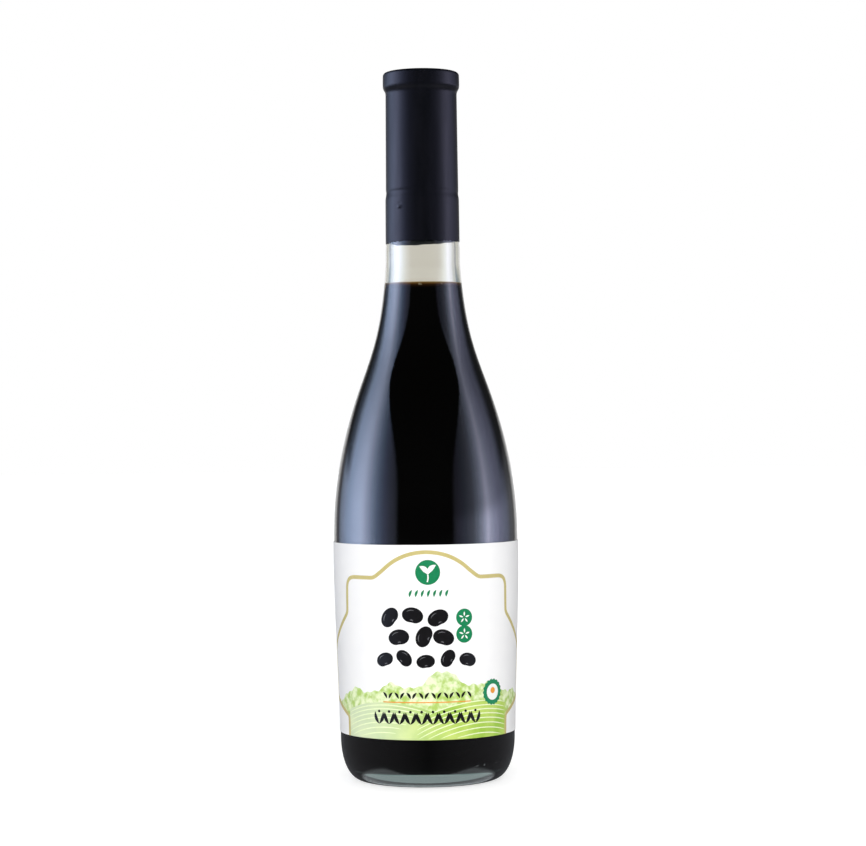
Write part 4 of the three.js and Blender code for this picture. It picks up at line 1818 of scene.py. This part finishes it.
    def add_sun(
        self, name: str, strength: float, turn_degrees: float, elevation: float, spread: float
    ) -> None:
        """Adds a broad, far light that only matt surfaces see.

        Args:
            name: Its name.
            strength: The brightness that it gives a white surface that faces it.
            turn_degrees: Its direction round the bottle, 0 in front.
            elevation: Its elevation in degrees.
            spread: The angle that it fills, in degrees.
        """
        data = bpy.data.lights.new(name, "SUN")
        data.energy = strength * math.pi
        data.angle = math.radians(spread)
        light = bpy.data.objects.new(name, data)
        around = Matrix.Rotation(math.radians(turn_degrees), 4, "Z")
        light.matrix_world = around @ Matrix.Rotation(math.radians(90.0 - elevation), 4, "X")
        light.visible_glossy = False
        light.visible_transmission = False
        bpy.context.scene.collection.objects.link(light)

    def add_floor(self) -> None:
        """Adds the floor: a wide disc, matt, with a glow of its own that keeps its shadow soft, and a painted
        shade, darker in front and lighter to the sides, that rays through the glass see instead of the lit
        floor.
        """
        material = bpy.data.materials.new("pale_floor")
        material.use_nodes = True
        graph = Graph(material.node_tree)
        shader = material.node_tree.nodes["Principled BSDF"]
        path = graph.add("ShaderNodeLightPath")
        graph.fill(shader, {
            "Base Color": (self.floor_albedo,) * 3,
            "Roughness": 1.0,
            "Specular IOR Level": 0.0,
            "Emission Color": WHITE,
            "Emission Strength": graph.math("MULTIPLY", path.outputs["Is Camera Ray"], self.floor_glow),
        })
        # Painted shade: rays through the glass see a dark glow, darker in front, not the lit floor.
        place = graph.add("ShaderNodeTexCoord").outputs["Object"]
        away = graph.add("ShaderNodeVectorMath", {0: place}, operation="LENGTH").outputs[1]
        across = graph.math("ABSOLUTE", graph.add("ShaderNodeSeparateXYZ", {0: place}).outputs[0])
        sideways = graph.math("DIVIDE", across, away)
        seen = graph.mix(sideways, self.painted_shade_front, self.painted_shade_sides)
        painted_shade = graph.add("ShaderNodeEmission", {0: seen})
        through = path.outputs["Is Transmission Ray"]
        graph.show(through, shader, painted_shade)
        mesh = bpy.data.meshes.new("floor")
        turn = np.linspace(0.0, 2 * math.pi, 65)[:-1]
        rim = np.column_stack([np.cos(turn), np.sin(turn), np.zeros_like(turn)]) * self.floor_reach
        mesh.from_pydata(rim.tolist(), [], [list(range(len(rim)))])
        mesh.materials.append(material)
        floor = bpy.data.objects.new("floor", mesh)
        floor.visible_glossy = False
        bpy.context.scene.collection.objects.link(floor)

    def build(self) -> None:
        """Adds all of it, with tones shown as they are."""
        bpy.context.scene.view_settings.view_transform = "Standard"
        self.add_camera()
        self.add_room()
        self.add_sun("front_light", self.front_light, 0.0, self.front_elevation, self.front_spread)
        self.add_sun("back_light", self.back_light, 180.0, self.back_elevation, self.back_spread)
        self.add_floor()


def ink_finishes(effects: Effects) -> dict[Ink, Material]:
    """Makes the finish of each ink.

    Args:
        effects: The shared node groups.

    Returns:
        The material of each ink.
    """
    looks = {
        Ink.PALE: InkFinish(srgb(170, 200, 100), srgb(228, 238, 196), 420.0, 0.12, 38 * MM, 58 * MM),
        Ink.LIME: InkFinish(srgb(150, 188, 66), srgb(190, 212, 108), 110.0, 0.16, left_fade=0.5),
        Ink.FURROW: InkFinish(srgb(236, 244, 208), srgb(218, 232, 178)),
        Ink.GOLD: InkFinish(srgb(188, 174, 108), srgb(198, 185, 126)),
        Ink.GREY: InkFinish(srgb(112, 112, 115), srgb(92, 92, 96)),
        Ink.BLACK: InkFinish(srgb(12, 11, 12), srgb(22, 20, 21)),
        Ink.GREEN: InkFinish(srgb(8, 118, 70), srgb(24, 130, 84)),
        Ink.WHITE: InkFinish(srgb(240, 242, 238), srgb(230, 234, 228)),
        Ink.ORANGE: InkFinish(srgb(222, 140, 40), srgb(228, 156, 66)),
    }
    return {ink: look.make(ink.piece + "_ink", effects) for ink, look in looks.items()}


def main() -> None:
    """Builds the studio, the glass, the sauce, the label with its print, and the capsule."""
    logging.basicConfig(level=logging.INFO, format="%(message)s")
    Studio().build()
    effects = Effects(variation_group(), relief_group())
    label_low, label_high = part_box("label")
    wet_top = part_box("soy_sauce")[1].z
    capsule_low, capsule_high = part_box("capsule")
    glass = GlassBottle()
    foot_drop, step_below, lip_gap = 0.34 * MM, 0.5 * MM, 0.1 * MM
    capsule = Capsule(foot=capsule_low.z + foot_drop, top=capsule_high.z)
    covered = capsule.covered_glass(step_below)
    clear = glass.surface(covered, capsule.top - capsule.lid - lip_gap)
    add_piece("bottle_glass", clear, GlassFinish().make(effects), ["glass_bottle"])
    fill = Sauce().surface(glass, wet_top)
    add_piece("sauce_fill", fill, SauceFinish().make(effects, wet_top), ["soy_sauce"])
    bubbles = Froth().surface(glass, wet_top)
    add_piece("sauce_froth", bubbles, FrothFinish().make(effects))
    label = Label(label_low.z, label_high.z, glass)
    add_piece("paper_label", label.surface(), PaperFinish().make(effects), ["label"])
    artwork = LabelPrint(label)
    artwork.print_all()
    artwork.add_pieces(ink_finishes(effects))
    film = FilmFinish().make(effects)
    add_piece("shrink_capsule", capsule.surface(), film, ["capsule"])


if __name__ == "__main__":
    main()
